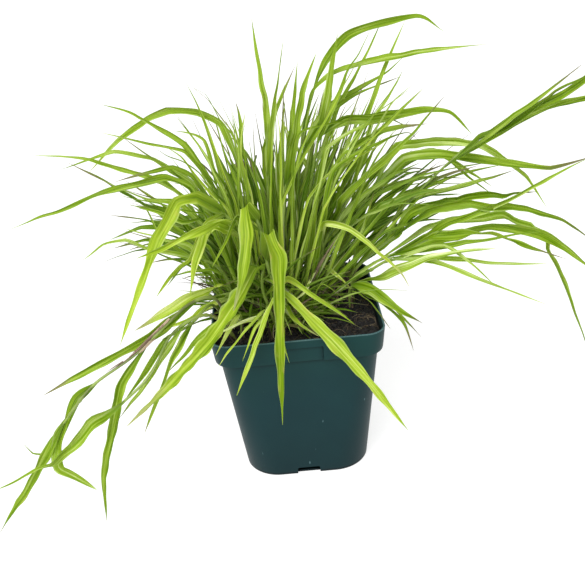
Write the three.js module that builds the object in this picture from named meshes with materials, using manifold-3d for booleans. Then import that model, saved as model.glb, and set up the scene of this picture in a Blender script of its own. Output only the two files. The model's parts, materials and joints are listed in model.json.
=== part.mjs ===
// Japanese forest grass in a square nursery pot.
// Millimetres, +Z up, origin at the centre of the pot's base. -Y is the front of the pot.
import * as THREE from 'three';
import { mergeVertices } from 'three/addons/utils/BufferGeometryUtils.js';
import Module from 'manifold-3d';

const wasm = await Module();
wasm.setup();

// Pot: a moulded 13 cm square pot with a stepped rim band.
const potHeight = 131;
const rimHalf = 65;
const rimCorner = 14.4;
const bandHeight = 19.4;
const bandFootHalf = 63.3;
const bodyTopHalf = 59.9;
const bodyTopCorner = 16;
const baseHalf = 49.5;
const baseCorner = 27.7;
const baseChamfer = 2;
const potWall = 1.5;
const bandStep = 0.2;
const lipRound = 0.4;
const labelWidth = 35;
const labelMargin = 4;
const labelDepth = 0.6;
const notchWidth = 18;
const notchHeight = 6.5;
const notchReach = 5.5;
const notchCorner = 3;
const cutMargin = 5;
const cornerSteps = 5;

// Soil: fills the pot to about 10 mm below the rim, a little higher at the crown.
const soilTop = 121;
const crownRise = 2.5;
const crownSpread = 42;
const crownCentre = new THREE.Vector2(-6, 22);
const crownReach = new THREE.Vector2(47, 31);
const clods = [
  { height: 0.7, alongX: 0.31, alongY: 0.11, start: 1.3 },
  { height: 0.5, alongX: 0.17, alongY: -0.23, start: 0 },
];
const soilShares = [1, 0.78, 0.55, 0.3];
const soilEdge = 0.6;
const soilShoulder = 2.5;
const fitGap = 0.3;

// Stems and blades.
const culmDepth = 16;
const culmNeck = 3;
const culmFootRadius = 1.15;
const culmTipRadius = 0.75;
const culmFacetLength = 22;
const culmStations = 24;
const holeGap = 0.35;
const holeMargin = 4;
const sheathLength = 7;
const bladeThickness = 0.9;
const bladeStations = 36;
const bladeFacetLength = 38;
const extraFacets = 1.4;
const bladeFacets = [4, 7];
// A blade is this slim in its sheath, opens between these shares of its length, then tapers by two powers.
const sheathedWidth = 0.18;
const opens = [0.04, 0.4];
const taperPowers = [2.4, 0.9];
// How fast a blade's flat side turns back to the light where its rib bends.
const sidePull = 0.15;
// The greatest roll and twist of a named blade and of a fill blade, in degrees.
const namedTurns = { roll: 35, twist: 45 };
const fillTurns = { roll: 45, twist: 45 };

// Blades of different stems keep this far apart, measured between points spread over them.
const clearGap = 2.3;
const samplePitch = 1.9;
// Blades of one stem keep apart past this share of their length.
const rootShare = 0.3;
// Room that blades leave over the floor, round the pot, over its rim and over the soil.
const floorRoom = 6;
const wallRoom = 2.5;
const rimRoom = 2;
const insideRoom = 5;
const speckSize = 0.02;

const toRad = THREE.MathUtils.degToRad;
const vectorOf = ([x, y, z]) => new THREE.Vector3(x, y, z);
// Towards the front and the light, the way most blades face.
const frontFace = new THREE.Vector3(0, -0.9, 0.44);

// Repeatable random numbers from 0 to 1.
function seededRandom(seed) {
  let state = seed;
  return () => {
    state = (state * 16807) % 2147483647;
    return state / 2147483647;
  };
}

// A blade: where it leaves its stem, from 0 at the foot to 1 at the top, its width, and points on its rib.
function blade(at, width, ...points) {
  return { at, width, points };
}

// A stem: its name, its foot on the soil, points that it passes through, and its blades.
function stem(name, foot, points, blades) {
  return { name, foot, points, blades };
}

const namedStems = [
  stem('left_arch', [-30, 32], [[-23, 30, 160], [-28, 32, 207], [-32, 36, 245]], [
    blade(0.8, 8, [-43, 42, 267], [-61, 48, 277], [-84, 55, 278], [-127, 62, 256], [-156, 66, 230]),
    blade(0.97, 4, [-28, 38, 265], [-31, 40, 283]),
    blade(0.6, 4, [-32, 28, 249], [-24, 26, 277]),
  ]),
  stem('left_high', [-38, 24], [[-36, 22, 159], [-43, 22, 191], [-52, 24, 225]], [
    blade(0.85, 7, [-61, 28, 236], [-73, 32, 256], [-108, 40, 281], [-132, 44, 289]),
    blade(0.92, 6, [-63, 18, 242], [-72, 16, 256], [-108, 16, 267], [-131, 16, 275]),
    blade(0.62, 6, [-51, 36, 249], [-57, 40, 273], [-67, 46, 300]),
    blade(0.98, 5, [-57, 30, 259], [-63, 32, 263], [-81, 36, 267]),
  ]),
  stem('left_mid', [-43, 13], [[-42, 10, 161], [-51, 8, 188], [-63, 6, 213]], [
    blade(0.8, 6, [-69, 8, 233], [-95, 10, 254], [-122, 12, 261], [-164, 12, 251]),
    blade(0.7, 7, [-67, 0, 240], [-80, -4, 250], [-96, -8, 249], [-124, -12, 245]),
    blade(0.95, 6, [-88, 2, 237], [-109, 2, 246], [-138, 2, 259], [-178, 0, 267]),
  ]),
  stem('left_long', [-46, 2], [[-45, 0, 164], [-54, -5, 191], [-62, -9, 215]], [
    blade(0.9, 9, [-68, -14, 237], [-85, -18, 247], [-115, -24, 245], [-160, -30, 234], [-195, -34, 225]),
    blade(0.75, 6, [-78, -8, 224], [-99, -12, 229], [-117, -14, 239], [-150, -16, 263]),
    blade(0.95, 5, [-77, -20, 213], [-91, -24, 223], [-111, -28, 233]),
  ]),
  stem('left_low', [-49, -8], [[-49, -12, 158], [-57, -20, 177], [-67, -27, 186]], [
    blade(0.85, 4, [-74, -28, 198], [-91, -32, 205], [-115, -38, 219]),
    blade(0.95, 6, [-100, -42, 202], [-115, -48, 213], [-128, -52, 213], [-145, -56, 205]),
    blade(0.6, 4, [-74, -40, 182], [-87, -48, 183]),
  ]),
  stem('left_shelf', [-50, -20], [[-47, -22, 154], [-50, -28, 164]], [
    blade(0.95, 11, [-59, -38, 171], [-71, -50, 170], [-92, -66, 164], [-113, -78, 158]),
    blade(0.6, 7, [-63, -46, 156], [-77, -60, 153], [-104, -74, 153]),
  ]),
  stem('fall_left', [-26, -10], [[-30, -10, 171], [-38, -12, 202], [-50, -16, 220]], [
    blade(0.97, 10, [-64, -28, 234], [-76, -40, 236], [-90, -62, 218], [-104, -78, 190], [-122, -92, 155]),
    blade(0.8, 10, [-48, -34, 218], [-61, -46, 217], [-87, -64, 211], [-103, -74, 210]),
    blade(0.93, 9, [-58, -34, 214], [-64, -46, 201], [-74, -58, 171]),
    blade(0.7, 9, [-56, -44, 221], [-71, -56, 207], [-88, -70, 194], [-99, -78, 183]),
  ]),
  stem('fall_front', [-6, -16], [[-17, -16, 165], [-20, -18, 196], [-23, -22, 214]], [
    blade(0.95, 11, [-29, -34, 226], [-29, -48, 210], [-35, -60, 185], [-44, -68, 161]),
    blade(0.55, 12, [-15, -34, 204], [-10, -50, 188], [-11, -64, 165], [-13, -78, 136], [-17, -86, 74]),
    blade(0.85, 5, [-37, -30, 218], [-45, -44, 206], [-56, -56, 191]),
  ]),
  stem('knee_front', [-16, -24], [[-23, -28, 158], [-21, -36, 178]], [
    blade(0.95, 12, [-26, -48, 184], [-40, -62, 167], [-63, -84, 147], [-96, -98, 120], [-125, -110, 100]),
    blade(0.8, 11, [-16, -50, 174], [1, -66, 161], [24, -82, 138], [51, -96, 104], [73, -106, 72]),
    blade(0.5, 5, [-3, -44, 161], [13, -58, 149], [30, -72, 138], [40, -77, 127]),
  ]),
  stem('skirt_front', [4, -32], [[-9, -34, 150], [-11, -42, 165]], [
    blade(0.9, 8, [-17, -62, 160], [-25, -75, 146], [-48, -86, 102]),
    blade(0.5, 4, [3, -62, 141], [15, -68, 135]),
    blade(0.6, 3, [-11, -74, 134], [-8, -76, 120]),
  ]),
  stem('skirt_left', [-20, -40], [[-22, -42, 140], [-21, -46, 152]], [
    blade(0.9, 4, [-32, -62, 147], [-43, -74, 140], [-58, -82, 126]),
    blade(0.7, 4, [-30, -66, 144], [-41, -78, 126]),
    blade(0.8, 6, [-35, -54, 148], [-58, -68, 144]),
  ]),
  stem('corner_left', [-42, -36], [[-41, -38, 136], [-41, -42, 147]], [
    blade(0.9, 4, [-47, -64, 142], [-55, -74, 130]),
    blade(0.6, 5, [-50, -50, 145], [-66, -66, 141], [-74, -72, 133]),
  ]),
  stem(
    'trail_tip',
    [-50, -31],
    [
      [-58, -50, 164], [-73, -64, 169], [-89, -78, 162],
      [-114, -92, 146], [-144, -103, 131], [-169, -110, 105],
    ],
    [
      blade(0.8, 7, [-156, -106, 124], [-166, -109, 107], [-174, -112, 91]),
      blade(0.98, 7, [-182, -114, 86], [-197, -117, 65], [-226, -121, 27]),
      blade(0.96, 11, [-173, -114, 91], [-174, -116, 77], [-153, -116, 53]),
      blade(0.97, 4, [-182, -110, 82], [-194, -111, 84], [-199, -111, 93]),
      blade(0.55, 8, [-126, -98, 128], [-136, -102, 98], [-150, -106, 55], [-154, -109, 17]),
      blade(0.32, 9, [-103, -84, 156], [-123, -92, 150], [-147, -98, 141], [-178, -106, 129]),
    ],
  ),
  stem(
    'trail_mid',
    [-46, -42],
    [[-58, -54, 150], [-68, -62, 157], [-88, -74, 151], [-106, -88, 127], [-130, -101, 111]],
    [
      blade(0.95, 10, [-145, -105, 104], [-162, -109, 90], [-188, -113, 77], [-218, -118, 65]),
      blade(0.45, 5, [-100, -82, 134], [-115, -90, 115], [-132, -98, 99]),
      blade(0.2, 5, [-77, -68, 138], [-95, -78, 122]),
    ],
  ),
  stem('trail_near', [-55, -8], [[-63, -41, 154], [-77, -57, 148], [-96, -72, 146]], [
    blade(0.7, 6, [-90, -78, 135], [-101, -88, 114], [-115, -98, 86]),
    blade(0.95, 5, [-103, -84, 138], [-115, -90, 125], [-128, -96, 112]),
  ]),
  stem('top_left', [-24, 40], [[-16, 36, 179], [-12, 36, 221], [-9, 37, 256]], [
    blade(0.9, 6, [-8, 38, 286], [-11, 40, 316], [-13, 42, 342]),
    blade(0.7, 5, [-4, 34, 272], [2, 34, 298], [9, 34, 327]),
    blade(0.62, 5, [-13, 44, 243], [-2, 46, 271], [16, 48, 304]),
  ]),
  stem('top_mid', [-12, 44], [[-4, 40, 172], [1, 40, 210], [5, 41, 240]], [
    blade(0.92, 6, [9, 42, 257], [15, 43, 286], [18, 44, 308]),
    blade(0.75, 8, [10, 34, 251], [19, 34, 287], [32, 34, 315]),
    blade(0.55, 4, [-2, 46, 229], [2, 48, 256], [7, 50, 280]),
  ]),
  stem('top_arch', [0, 46], [[8, 43, 169], [12, 43, 216], [20, 44, 265]], [
    blade(0.97, 9, [39, 46, 306], [57, 48, 324], [83, 50, 330], [110, 50, 332], [129, 50, 320]),
    blade(0.9, 7, [27, 38, 286], [41, 36, 298], [72, 36, 305], [105, 36, 309], [158, 36, 310]),
    blade(0.82, 5, [37, 50, 270], [65, 54, 282], [87, 56, 292], [100, 58, 302]),
    blade(0.76, 5, [38, 40, 269], [60, 42, 280], [95, 44, 291]),
  ]),
  stem('top_right', [12, 44], [[14, 41, 169], [22, 40, 216], [32, 40, 259]], [
    blade(0.97, 6, [38, 42, 278], [43, 43, 300], [48, 44, 321]),
    blade(0.88, 4, [40, 34, 270], [57, 34, 300], [72, 34, 327]),
    blade(0.7, 4, [47, 46, 271], [68, 48, 303], [83, 50, 332]),
    blade(0.93, 9, [53, 34, 265], [84, 30, 265], [114, 28, 266], [129, 26, 264], [145, 24, 247]),
  ]),
  stem('spear_right', [22, 40], [[21, 36, 166], [34, 35, 202], [49, 34, 232]], [
    blade(0.95, 5, [63, 34, 258], [82, 34, 300], [99, 34, 335]),
    blade(0.8, 7, [54, 24, 246], [76, 20, 257], [110, 16, 260]),
    blade(0.6, 4, [50, 42, 237], [63, 44, 260], [72, 46, 277]),
  ]),
  stem('fan_right', [31, 36], [[28, 32, 163], [44, 30, 195], [61, 28, 228]], [
    blade(0.95, 5, [72, 28, 250], [92, 28, 269], [109, 28, 283]),
    blade(0.86, 4, [71, 36, 257], [84, 38, 276], [96, 40, 295]),
    blade(0.75, 4, [69, 20, 255], [83, 18, 276], [98, 16, 288]),
    blade(0.45, 7, [51, 10, 215], [74, 6, 235], [99, 4, 258], [121, 2, 284]),
  ]),
  stem('arch_right', [38, 34], [[35, 30, 152], [53, 26, 186], [72, 22, 216]], [
    blade(0.92, 8, [89, 24, 242], [121, 22, 244], [149, 20, 240], [186, 18, 211], [203, 16, 185]),
    blade(0.97, 8, [92, 14, 236], [118, 10, 238], [166, 6, 228], [200, 4, 221], [232, 2, 228]),
    blade(0.8, 6, [98, 30, 231], [118, 32, 233], [140, 32, 219], [164, 32, 200]),
    blade(0.62, 5, [91, 34, 220], [124, 38, 228], [148, 40, 206], [168, 40, 189]),
  ]),
  stem('tall_right', [44, 30], [[49, 24, 144], [87, 12, 194], [132, 2, 240], [157, -4, 259]], [
    blade(0.97, 9, [183, -8, 271], [203, -10, 280], [238, -12, 305]),
    blade(0.94, 8, [182, 0, 266], [207, 0, 271], [248, 0, 275]),
    blade(0.9, 4, [177, -14, 275], [211, -18, 301]),
    blade(0.08, 6, [55, 12, 168], [61, 7, 190], [67, 5, 214]),
  ]),
  stem('shelf_right', [46, 22], [[48, 18, 141], [66, 12, 162], [85, 8, 177]], [
    blade(0.8, 8, [96, 18, 199], [128, 20, 205], [155, 20, 210], [180, 20, 217]),
    blade(0.92, 10, [95, 4, 196], [120, 2, 204], [154, 0, 206], [190, 0, 205]),
    blade(0.97, 8, [107, -6, 200], [137, -10, 204], [177, -14, 198], [205, -16, 187], [228, -18, 169]),
    blade(0.5, 7, [83, 26, 168], [96, 30, 187], [110, 34, 204]),
  ]),
  stem('low_right', [48, 14], [[47, 10, 140], [65, 4, 156], [83, -2, 166]], [
    blade(0.95, 6, [114, -8, 184], [162, -14, 206], [219, -20, 234]),
    blade(0.8, 11, [105, 4, 173], [156, 4, 180], [194, 2, 170], [215, 0, 156], [243, -2, 130]),
    blade(0.7, 9, [111, 14, 176], [167, 16, 179], [198, 14, 160], [219, 12, 118], [243, 10, 55]),
    blade(0.98, 7, [113, -14, 181], [150, -20, 182], [184, -24, 167], [206, -26, 159]),
    blade(0.85, 5, [100, -18, 174], [133, -26, 178], [187, -32, 186]),
  ]),
  stem('reach_right', [47, 6], [[46, 0, 141], [63, -10, 158], [78, -16, 169]], [
    blade(0.3, 8, [57, -16, 153], [88, -26, 165], [117, -34, 175], [149, -40, 179]),
    blade(0.97, 5, [104, -22, 169], [144, -30, 163], [189, -36, 161]),
    blade(0.9, 4, [107, -28, 168], [140, -38, 153], [185, -48, 134]),
    blade(0.8, 4, [114, -8, 169], [133, -12, 154], [148, -16, 136]),
  ]),
  stem('rim_right', [44, -2], [[44, -4, 138], [47, -8, 145]], [
    blade(0.95, 9, [59, -16, 143], [74, -28, 132], [93, -36, 121]),
    blade(0.8, 4, [69, -22, 133], [81, -30, 120], [87, -36, 98]),
    blade(0.6, 3, [56, -24, 136], [67, -36, 120]),
    blade(0.85, 3, [70, -10, 128], [84, -18, 108], [96, -24, 92]),
  ]),
  stem('lime_right', [26, 22], [[25, 16, 155], [26, 8, 178]], [
    blade(0.97, 6, [29, -2, 196], [46, -14, 194], [63, -26, 182], [80, -38, 165], [85, -42, 155]),
    blade(0.6, 4, [9, -18, 147], [-4, -28, 143]),
    blade(0.5, 4, [35, -2, 150], [44, -10, 143]),
  ]),
];

// Stems by rule fill the clump in four groups. Each has its number of stems, the direction that it leans to
// and its spread in degrees, how far its feet stand from the crown's centre, its stems' height and lean, the
// width and length of its blades, and the slope in degrees at which they rise and end.
const fillSeed = 4127;
const fillGroups = [
  { count: 9, to: 80, spread: 110, feet: [0, 0.8], tall: [25, 70], lean: [0, 0.25], wide: [4, 7],
    long: [75, 115], rise: [88, 76], end: [76, 50] },
  { count: 6, to: 172, spread: 24, feet: [0.3, 1], tall: [30, 75], lean: [0.25, 0.6], wide: [4.5, 8],
    long: [90, 150], rise: [74, 55], end: [25, -20] },
  { count: 6, to: 12, spread: 24, feet: [0.3, 1], tall: [30, 75], lean: [0.3, 0.7], wide: [4.5, 8],
    long: [90, 150], rise: [72, 50], end: [28, -15] },
  { count: 7, to: 90, spread: 50, feet: [0.5, 1], tall: [30, 70], lean: [0.2, 0.6], wide: [6, 9],
    long: [100, 160], rise: [75, 50], end: [10, -50] },
];
const stemTries = 60;
const stemApart = 4;
const fillBlades = 6;
// Fill blades leave the upper part of their stem, and turn to its two sides in turn, in degrees.
const leafyShare = 0.6;
const sideTurn = 38;
// From try to try a fill blade turns, shortens, leaves its stem lower down, and rises and ends flatter.
const fillTries = 16;
const tryTurn = 6;
const tryShorter = 0.03;
const tryLower = 0.03;
const tryFlatter = { rise: 1, end: 2 };
// How far forwards a fill blade may point, as the sine of its direction.
const mostForward = -0.4;
// A fill blade faces partly outwards, a little to the front, and mostly up.
const fillFace = { outwards: 0.5, front: -0.3, up: 0.85 };
// The clump's outline: fill blades stay under this dome, which leans away from the front.
const domeTop = 286;
const domeMiddle = 20;
const domeFall = 0.0035;
const domeLean = 0.5;

// Turns a closed geometry into a solid.
function solidOf(geometry) {
  const bare = new THREE.BufferGeometry();
  bare.setAttribute('position', geometry.getAttribute('position'));
  bare.setIndex(geometry.index);
  const merged = mergeVertices(bare, 1e-4);
  return new wasm.Manifold(new wasm.Mesh({
    numProp: 3,
    vertProperties: merged.attributes.position.array,
    triVerts: new Uint32Array(merged.index.array),
  }));
}

function geometryOf(solid) {
  const mesh = solid.getMesh();
  const geometry = new THREE.BufferGeometry();
  geometry.setAttribute('position', new THREE.BufferAttribute(mesh.vertProperties, 3));
  geometry.setIndex(new THREE.BufferAttribute(mesh.triVerts, 1));
  return geometry;
}

// Closes a stack of convex rings that all have the same number of points. The last may be a single tip.
// Faces in turn are split along opposite diagonals, so the two faces of a twisted thin blade stay parallel.
function loftRings(rings) {
  const count = rings[0].length;
  const top = (rings.length - 1) * count;
  const tipped = rings.at(-1).length === 1;
  const positions = [];
  const index = [];
  rings.flat().forEach((point) => positions.push(point.x, point.y, point.z));
  for (let level = 0; level + 1 < rings.length; level += 1) {
    for (let i = 0; i < count; i += 1) {
      const a = level * count + i;
      const b = level * count + ((i + 1) % count);
      if (tipped && level + 2 === rings.length) index.push(a, b, top);
      else if (i % 2) index.push(a, b, b + count, a, b + count, a + count);
      else index.push(a, b, a + count, b, b + count, a + count);
    }
  }
  for (let i = 1; i + 1 < count; i += 1) {
    index.push(0, i + 1, i);
    if (!tipped) index.push(top, top + i, top + i + 1);
  }
  const geometry = new THREE.BufferGeometry();
  geometry.setAttribute('position', new THREE.Float32BufferAttribute(positions, 3));
  geometry.setIndex(index);
  return geometry;
}

// A square ring with round corners, anticlockwise from above.
function squareRing(half, corner, z) {
  const points = [];
  for (let side = 0; side < 4; side += 1) {
    const turn = side * 90;
    const centre = new THREE.Vector2(half - corner, half - corner)
      .rotateAround(new THREE.Vector2(), toRad(turn));
    for (let step = 0; step <= cornerSteps; step += 1) {
      const angle = toRad(turn + (90 * step) / cornerSteps);
      points.push(new THREE.Vector3(
        centre.x + corner * Math.cos(angle),
        centre.y + corner * Math.sin(angle),
        z,
      ));
    }
  }
  return points;
}

// Half width of the pot's outside at a height.
function potHalfAt(z) {
  if (z > potHeight - bandHeight) {
    return THREE.MathUtils.mapLinear(z, potHeight - bandHeight, potHeight, bandFootHalf, rimHalf);
  }
  return THREE.MathUtils.mapLinear(z, 0, potHeight - bandHeight, baseHalf, bodyTopHalf);
}

function makePot() {
  const bandFoot = potHeight - bandHeight;
  const rings = [
    squareRing(baseHalf - baseChamfer, baseCorner - baseChamfer, 0),
    squareRing(baseHalf, baseCorner, baseChamfer),
    squareRing(bodyTopHalf, bodyTopCorner, bandFoot),
    squareRing(bandFootHalf, bodyTopCorner, bandFoot + bandStep),
    squareRing(rimHalf, rimCorner, potHeight - lipRound),
    squareRing(rimHalf - lipRound, rimCorner - lipRound, potHeight),
    squareRing(rimHalf - potWall, rimCorner - potWall, potHeight),
    squareRing(bandFootHalf - potWall, bodyTopCorner - potWall, bandFoot + potWall + bandStep),
    squareRing(bodyTopHalf - potWall, bodyTopCorner - potWall, bandFoot + potWall),
    squareRing(baseHalf - potWall, baseCorner - potWall, baseChamfer + potWall),
    squareRing(baseHalf - baseChamfer - potWall, baseCorner - baseChamfer - potWall, potWall),
  ];
  let pot = solidOf(loftRings(rings));

  // A plain recess for a label in the front of the band, parallel to its slanting face.
  const recessTop = potHeight - labelMargin;
  const recess = new THREE.Shape([
    new THREE.Vector2(-rimHalf - cutMargin, bandFoot - cutMargin),
    new THREE.Vector2(labelDepth - bandFootHalf, bandFoot - cutMargin),
    new THREE.Vector2(labelDepth - bandFootHalf, bandFoot),
    new THREE.Vector2(labelDepth - potHalfAt(recessTop), recessTop),
    new THREE.Vector2(-rimHalf - cutMargin, recessTop),
  ]);
  const recessGeometry = new THREE.ExtrudeGeometry(recess, { depth: labelWidth, bevelEnabled: false });
  recessGeometry.applyMatrix4(new THREE.Matrix4().set(
    0, 0, 1, -labelWidth / 2,
    1, 0, 0, 0,
    0, 1, 0, 0,
    0, 0, 0, 1,
  ));
  pot = pot.subtract(solidOf(stripped(recessGeometry)));

  // A drain notch in the bottom edge of each side.
  const notchHalf = notchWidth / 2;
  const arch = new THREE.Shape([
    new THREE.Vector2(-notchHalf, -cutMargin),
    new THREE.Vector2(notchHalf, -cutMargin),
    new THREE.Vector2(notchHalf, notchHeight - notchCorner),
    new THREE.Vector2(notchHalf - notchCorner, notchHeight),
    new THREE.Vector2(notchCorner - notchHalf, notchHeight),
    new THREE.Vector2(-notchHalf, notchHeight - notchCorner),
  ]);
  for (let side = 0; side < 4; side += 1) {
    const notch = new THREE.ExtrudeGeometry(arch, { depth: notchReach + cutMargin, bevelEnabled: false });
    notch.rotateX(Math.PI / 2);
    notch.translate(0, notchReach - baseHalf, 0);
    notch.rotateZ((side * Math.PI) / 2);
    pot = pot.subtract(solidOf(stripped(notch)));
  }
  return pot;
}

// Leaves only the positions of a three.js geometry.
function stripped(geometry) {
  geometry.deleteAttribute('normal');
  geometry.deleteAttribute('uv');
  return mergeVertices(geometry, 1e-4);
}

// Height of the soil's surface: a low mound at the crown, and small clods.
function soilHeight(x, y) {
  const away = Math.hypot(x - crownCentre.x, y - crownCentre.y) / crownSpread;
  const mound = crownRise * Math.exp(-away * away);
  return clods.reduce(
    (sum, { height, alongX, alongY, start }) => sum + height * Math.sin(x * alongX + y * alongY + start),
    soilTop + mound,
  );
}

function makeSoil(holes) {
  const bandFoot = potHeight - bandHeight;
  const inBody = (z) => THREE.MathUtils.mapLinear(z, 0, bandFoot, baseHalf, bodyTopHalf) - potWall - fitGap;
  const inBand = (z) => potHalfAt(z) - potWall - fitGap;
  const floor = potWall + baseChamfer + fitGap;
  const soilCorner = bodyTopCorner - potWall;
  const step = bandFoot + potWall + bandStep + fitGap;
  const rings = [
    squareRing(inBody(floor) - baseChamfer / 2, baseCorner - potWall - baseChamfer / 2, floor),
    squareRing(inBody(bandFoot), soilCorner, bandFoot),
    squareRing(inBody(bandFoot), soilCorner, step),
    squareRing(inBand(step) - bandStep, soilCorner, step + bandStep),
    squareRing(inBand(soilTop - soilShoulder), soilCorner, soilTop - soilShoulder),
  ];
  const edge = squareRing(inBand(soilTop) - soilEdge, soilCorner, 0);
  soilShares.forEach((share) => {
    rings.push(edge.map((corner) => {
      const [x, y] = [corner.x * share, corner.y * share];
      return new THREE.Vector3(x, y, soilHeight(x, y));
    }));
  });
  return solidOf(loftRings(rings)).subtract(wasm.Manifold.union(holes));
}

// Spaced points of a smooth curve, with a tangent and a side that turns towards the face's direction.
function stationsOf(points, count, facing, roll, twist) {
  const curve = new THREE.CatmullRomCurve3(points, false, 'centripetal');
  const places = curve.getSpacedPoints(count);
  const side = new THREE.Vector3();
  return places.map((place, i) => {
    const before = places[Math.max(i - 1, 0)];
    const after = places[Math.min(i + 1, count)];
    const tangent = new THREE.Vector3().subVectors(after, before).normalize();
    const wanted = new THREE.Vector3().crossVectors(tangent, facing);
    if (i === 0) {
      side.copy(wanted);
    } else {
      if (wanted.dot(side) < 0) wanted.negate();
      side.addScaledVector(wanted, sidePull);
    }
    side.addScaledVector(tangent, -side.dot(tangent)).normalize();
    const share = i / count;
    const across = side.clone().applyAxisAngle(tangent, roll + twist * share);
    return { place, tangent, across, normal: new THREE.Vector3().crossVectors(tangent, across), share };
  });
}

// Half width of a blade along its length: slim in its sheath, then full, then a long fine tip.
function bladeHalfWidth(width, share) {
  const opened = sheathedWidth + (1 - sheathedWidth) * THREE.MathUtils.smoothstep(share, ...opens);
  const tapered = (1 - share ** taperPowers[0]) ** taperPowers[1];
  return (width / 2) * opened * tapered;
}

function lengthOf(stations) {
  return stations.slice(1).reduce((sum, { place }, i) => sum + place.distanceTo(stations[i].place), 0);
}

// Keeps a number of even steps of a list of stations.
function thinned(stations, segments) {
  const last = stations.length - 1;
  return Array.from({ length: segments + 1 }, (_, i) => stations[Math.floor((i * last) / segments + 0.5)]);
}

// The stations that a faceted blade keeps.
function bladeFacetsOf(stations) {
  const segments = Math.round(lengthOf(stations) / bladeFacetLength + extraFacets);
  return thinned(stations, THREE.MathUtils.clamp(segments, ...bladeFacets));
}

// The stations that a faceted stem keeps.
function culmFacetsOf(stations) {
  return thinned(stations, Math.max(3, Math.round(lengthOf(stations) / culmFacetLength)));
}

function bladeSolid(facets, width) {
  const rings = facets.map(({ place, across, normal, share }) => {
    if (share === 1) return [place];
    const half = bladeHalfWidth(width, share);
    return [
      place.clone().addScaledVector(across, half),
      place.clone().addScaledVector(normal, bladeThickness / 2),
      place.clone().addScaledVector(across, -half),
      place.clone().addScaledVector(normal, -bladeThickness / 2),
    ];
  });
  return solidOf(loftRings(rings));
}

function culmRadius(share) {
  return THREE.MathUtils.lerp(culmFootRadius, culmTipRadius, share);
}

// A ring of a stem or of its hole, square across.
function culmRing(place, across, normal, radius) {
  return [
    place.clone().addScaledVector(across, radius),
    place.clone().addScaledVector(normal, radius),
    place.clone().addScaledVector(across, -radius),
    place.clone().addScaledVector(normal, -radius),
  ];
}

// The straight foot of a stem, from its depth in the soil up to a height.
function footRings({ x, y }, radius, bottom, top) {
  const sideways = new THREE.Vector3(1, 0, 0);
  const back = new THREE.Vector3(0, 1, 0);
  return [bottom, top].map((z) => culmRing(new THREE.Vector3(x, y, z), sideways, back, radius));
}

function culmSolid(stations) {
  const foot = stations[0].place;
  const rings = culmFacetsOf(stations).slice(1).map(({ place, across, normal, share }) => (
    culmRing(place, across, normal, culmRadius(share))
  ));
  return solidOf(loftRings([...footRings(foot, culmFootRadius, soilTop - culmDepth, foot.z), ...rings]));
}

function holeSolid(stations) {
  const foot = stations[0].place;
  const bottom = soilTop - culmDepth - holeGap;
  return solidOf(loftRings(footRings(foot, culmFootRadius + holeGap, bottom, foot.z + holeMargin)));
}

// Points spread over a ribbon between its facets.
function spreadPoints(facets, halfWidthAt) {
  const points = [];
  for (let i = 0; i + 1 < facets.length; i += 1) {
    const a = facets[i];
    const b = facets[i + 1];
    const steps = Math.ceil(a.place.distanceTo(b.place) / samplePitch);
    for (let step = 0; step < steps; step += 1) {
      const t = step / steps;
      const half = THREE.MathUtils.lerp(halfWidthAt(a.share), halfWidthAt(b.share), t);
      const lanes = Math.ceil(half / samplePitch);
      for (let lane = -lanes; lane <= lanes; lane += 1) {
        const point = a.place.clone().lerp(b.place, t);
        point.addScaledVector(a.across.clone().lerp(b.across, t), (half * lane) / lanes);
        point.free = THREE.MathUtils.lerp(a.share, b.share, t) > rootShare;
        points.push(point);
      }
    }
  }
  const end = facets.at(-1).place.clone();
  end.free = true;
  points.push(end);
  return points;
}

// The room that is taken, in cells of one gap's size.
const taken = new Map();
const cellOf = (value) => Math.floor(value / clearGap);
const cellKey = (i, j, k) => (i + 512) * 1048576 + (j + 512) * 1024 + (k + 512);

function takeRoom(points, owner) {
  points.forEach((point) => {
    const key = cellKey(cellOf(point.x), cellOf(point.y), cellOf(point.z));
    if (!taken.has(key)) taken.set(key, []);
    taken.get(key).push({ point, owner });
  });
}

// Whether a point keeps clear of the pot, the soil and the floor.
function clearOfPot({ x, y, z }) {
  if (z < floorRoom) return false;
  const away = Math.max(Math.abs(x), Math.abs(y));
  if (away > rimHalf + wallRoom || z > potHeight + rimRoom) return true;
  if (away < rimHalf - potWall - insideRoom) return z > soilTop + crownRise + rimRoom;
  return away > potHalfAt(z) + wallRoom;
}

function meets(point, owner, other) {
  const apart = other.owner !== owner || (point.free && other.point.free);
  return apart && other.point.distanceToSquared(point) < clearGap ** 2;
}

function isFree(points, owner) {
  return points.every((point) => {
    const [i, j, k] = [cellOf(point.x), cellOf(point.y), cellOf(point.z)];
    for (let a = i - 1; a <= i + 1; a += 1) {
      for (let b = j - 1; b <= j + 1; b += 1) {
        for (let c = k - 1; c <= k + 1; c += 1) {
          const near = taken.get(cellKey(a, b, c)) ?? [];
          if (near.some((other) => meets(point, owner, other))) return false;
        }
      }
    }
    return true;
  });
}

// Bends tried when a blade would cross another one: first to the back and the front, then sideways.
const bendTries = [new THREE.Vector3()];
for (let size = 4; size <= 44; size += 4) {
  bendTries.push(frontFace.clone().multiplyScalar(-size), frontFace.clone().multiplyScalar(size));
}
for (let size = 5; size <= 20; size += 5) {
  const pushes = [[size, 0, 0], [-size, 0, 0], [0, 0, size], [0, 0, -size]];
  bendTries.push(...pushes.map(vectorOf));
}

// Small moves tried on a fill blade.
const nudge = 7;
const nudges = [
  [0, 0, 0], [nudge, 0, 0], [-nudge, 0, 0], [0, nudge, 0], [0, 0, nudge], [0, 0, -nudge], [0, -nudge, 0],
].map(vectorOf);

function culmStationsOf(foot, points) {
  const neck = new THREE.Vector3(foot[0], foot[1], soilTop + culmNeck);
  return stationsOf([neck, ...points.map(vectorOf)], culmStations, frontFace, 0, 0);
}

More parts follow.
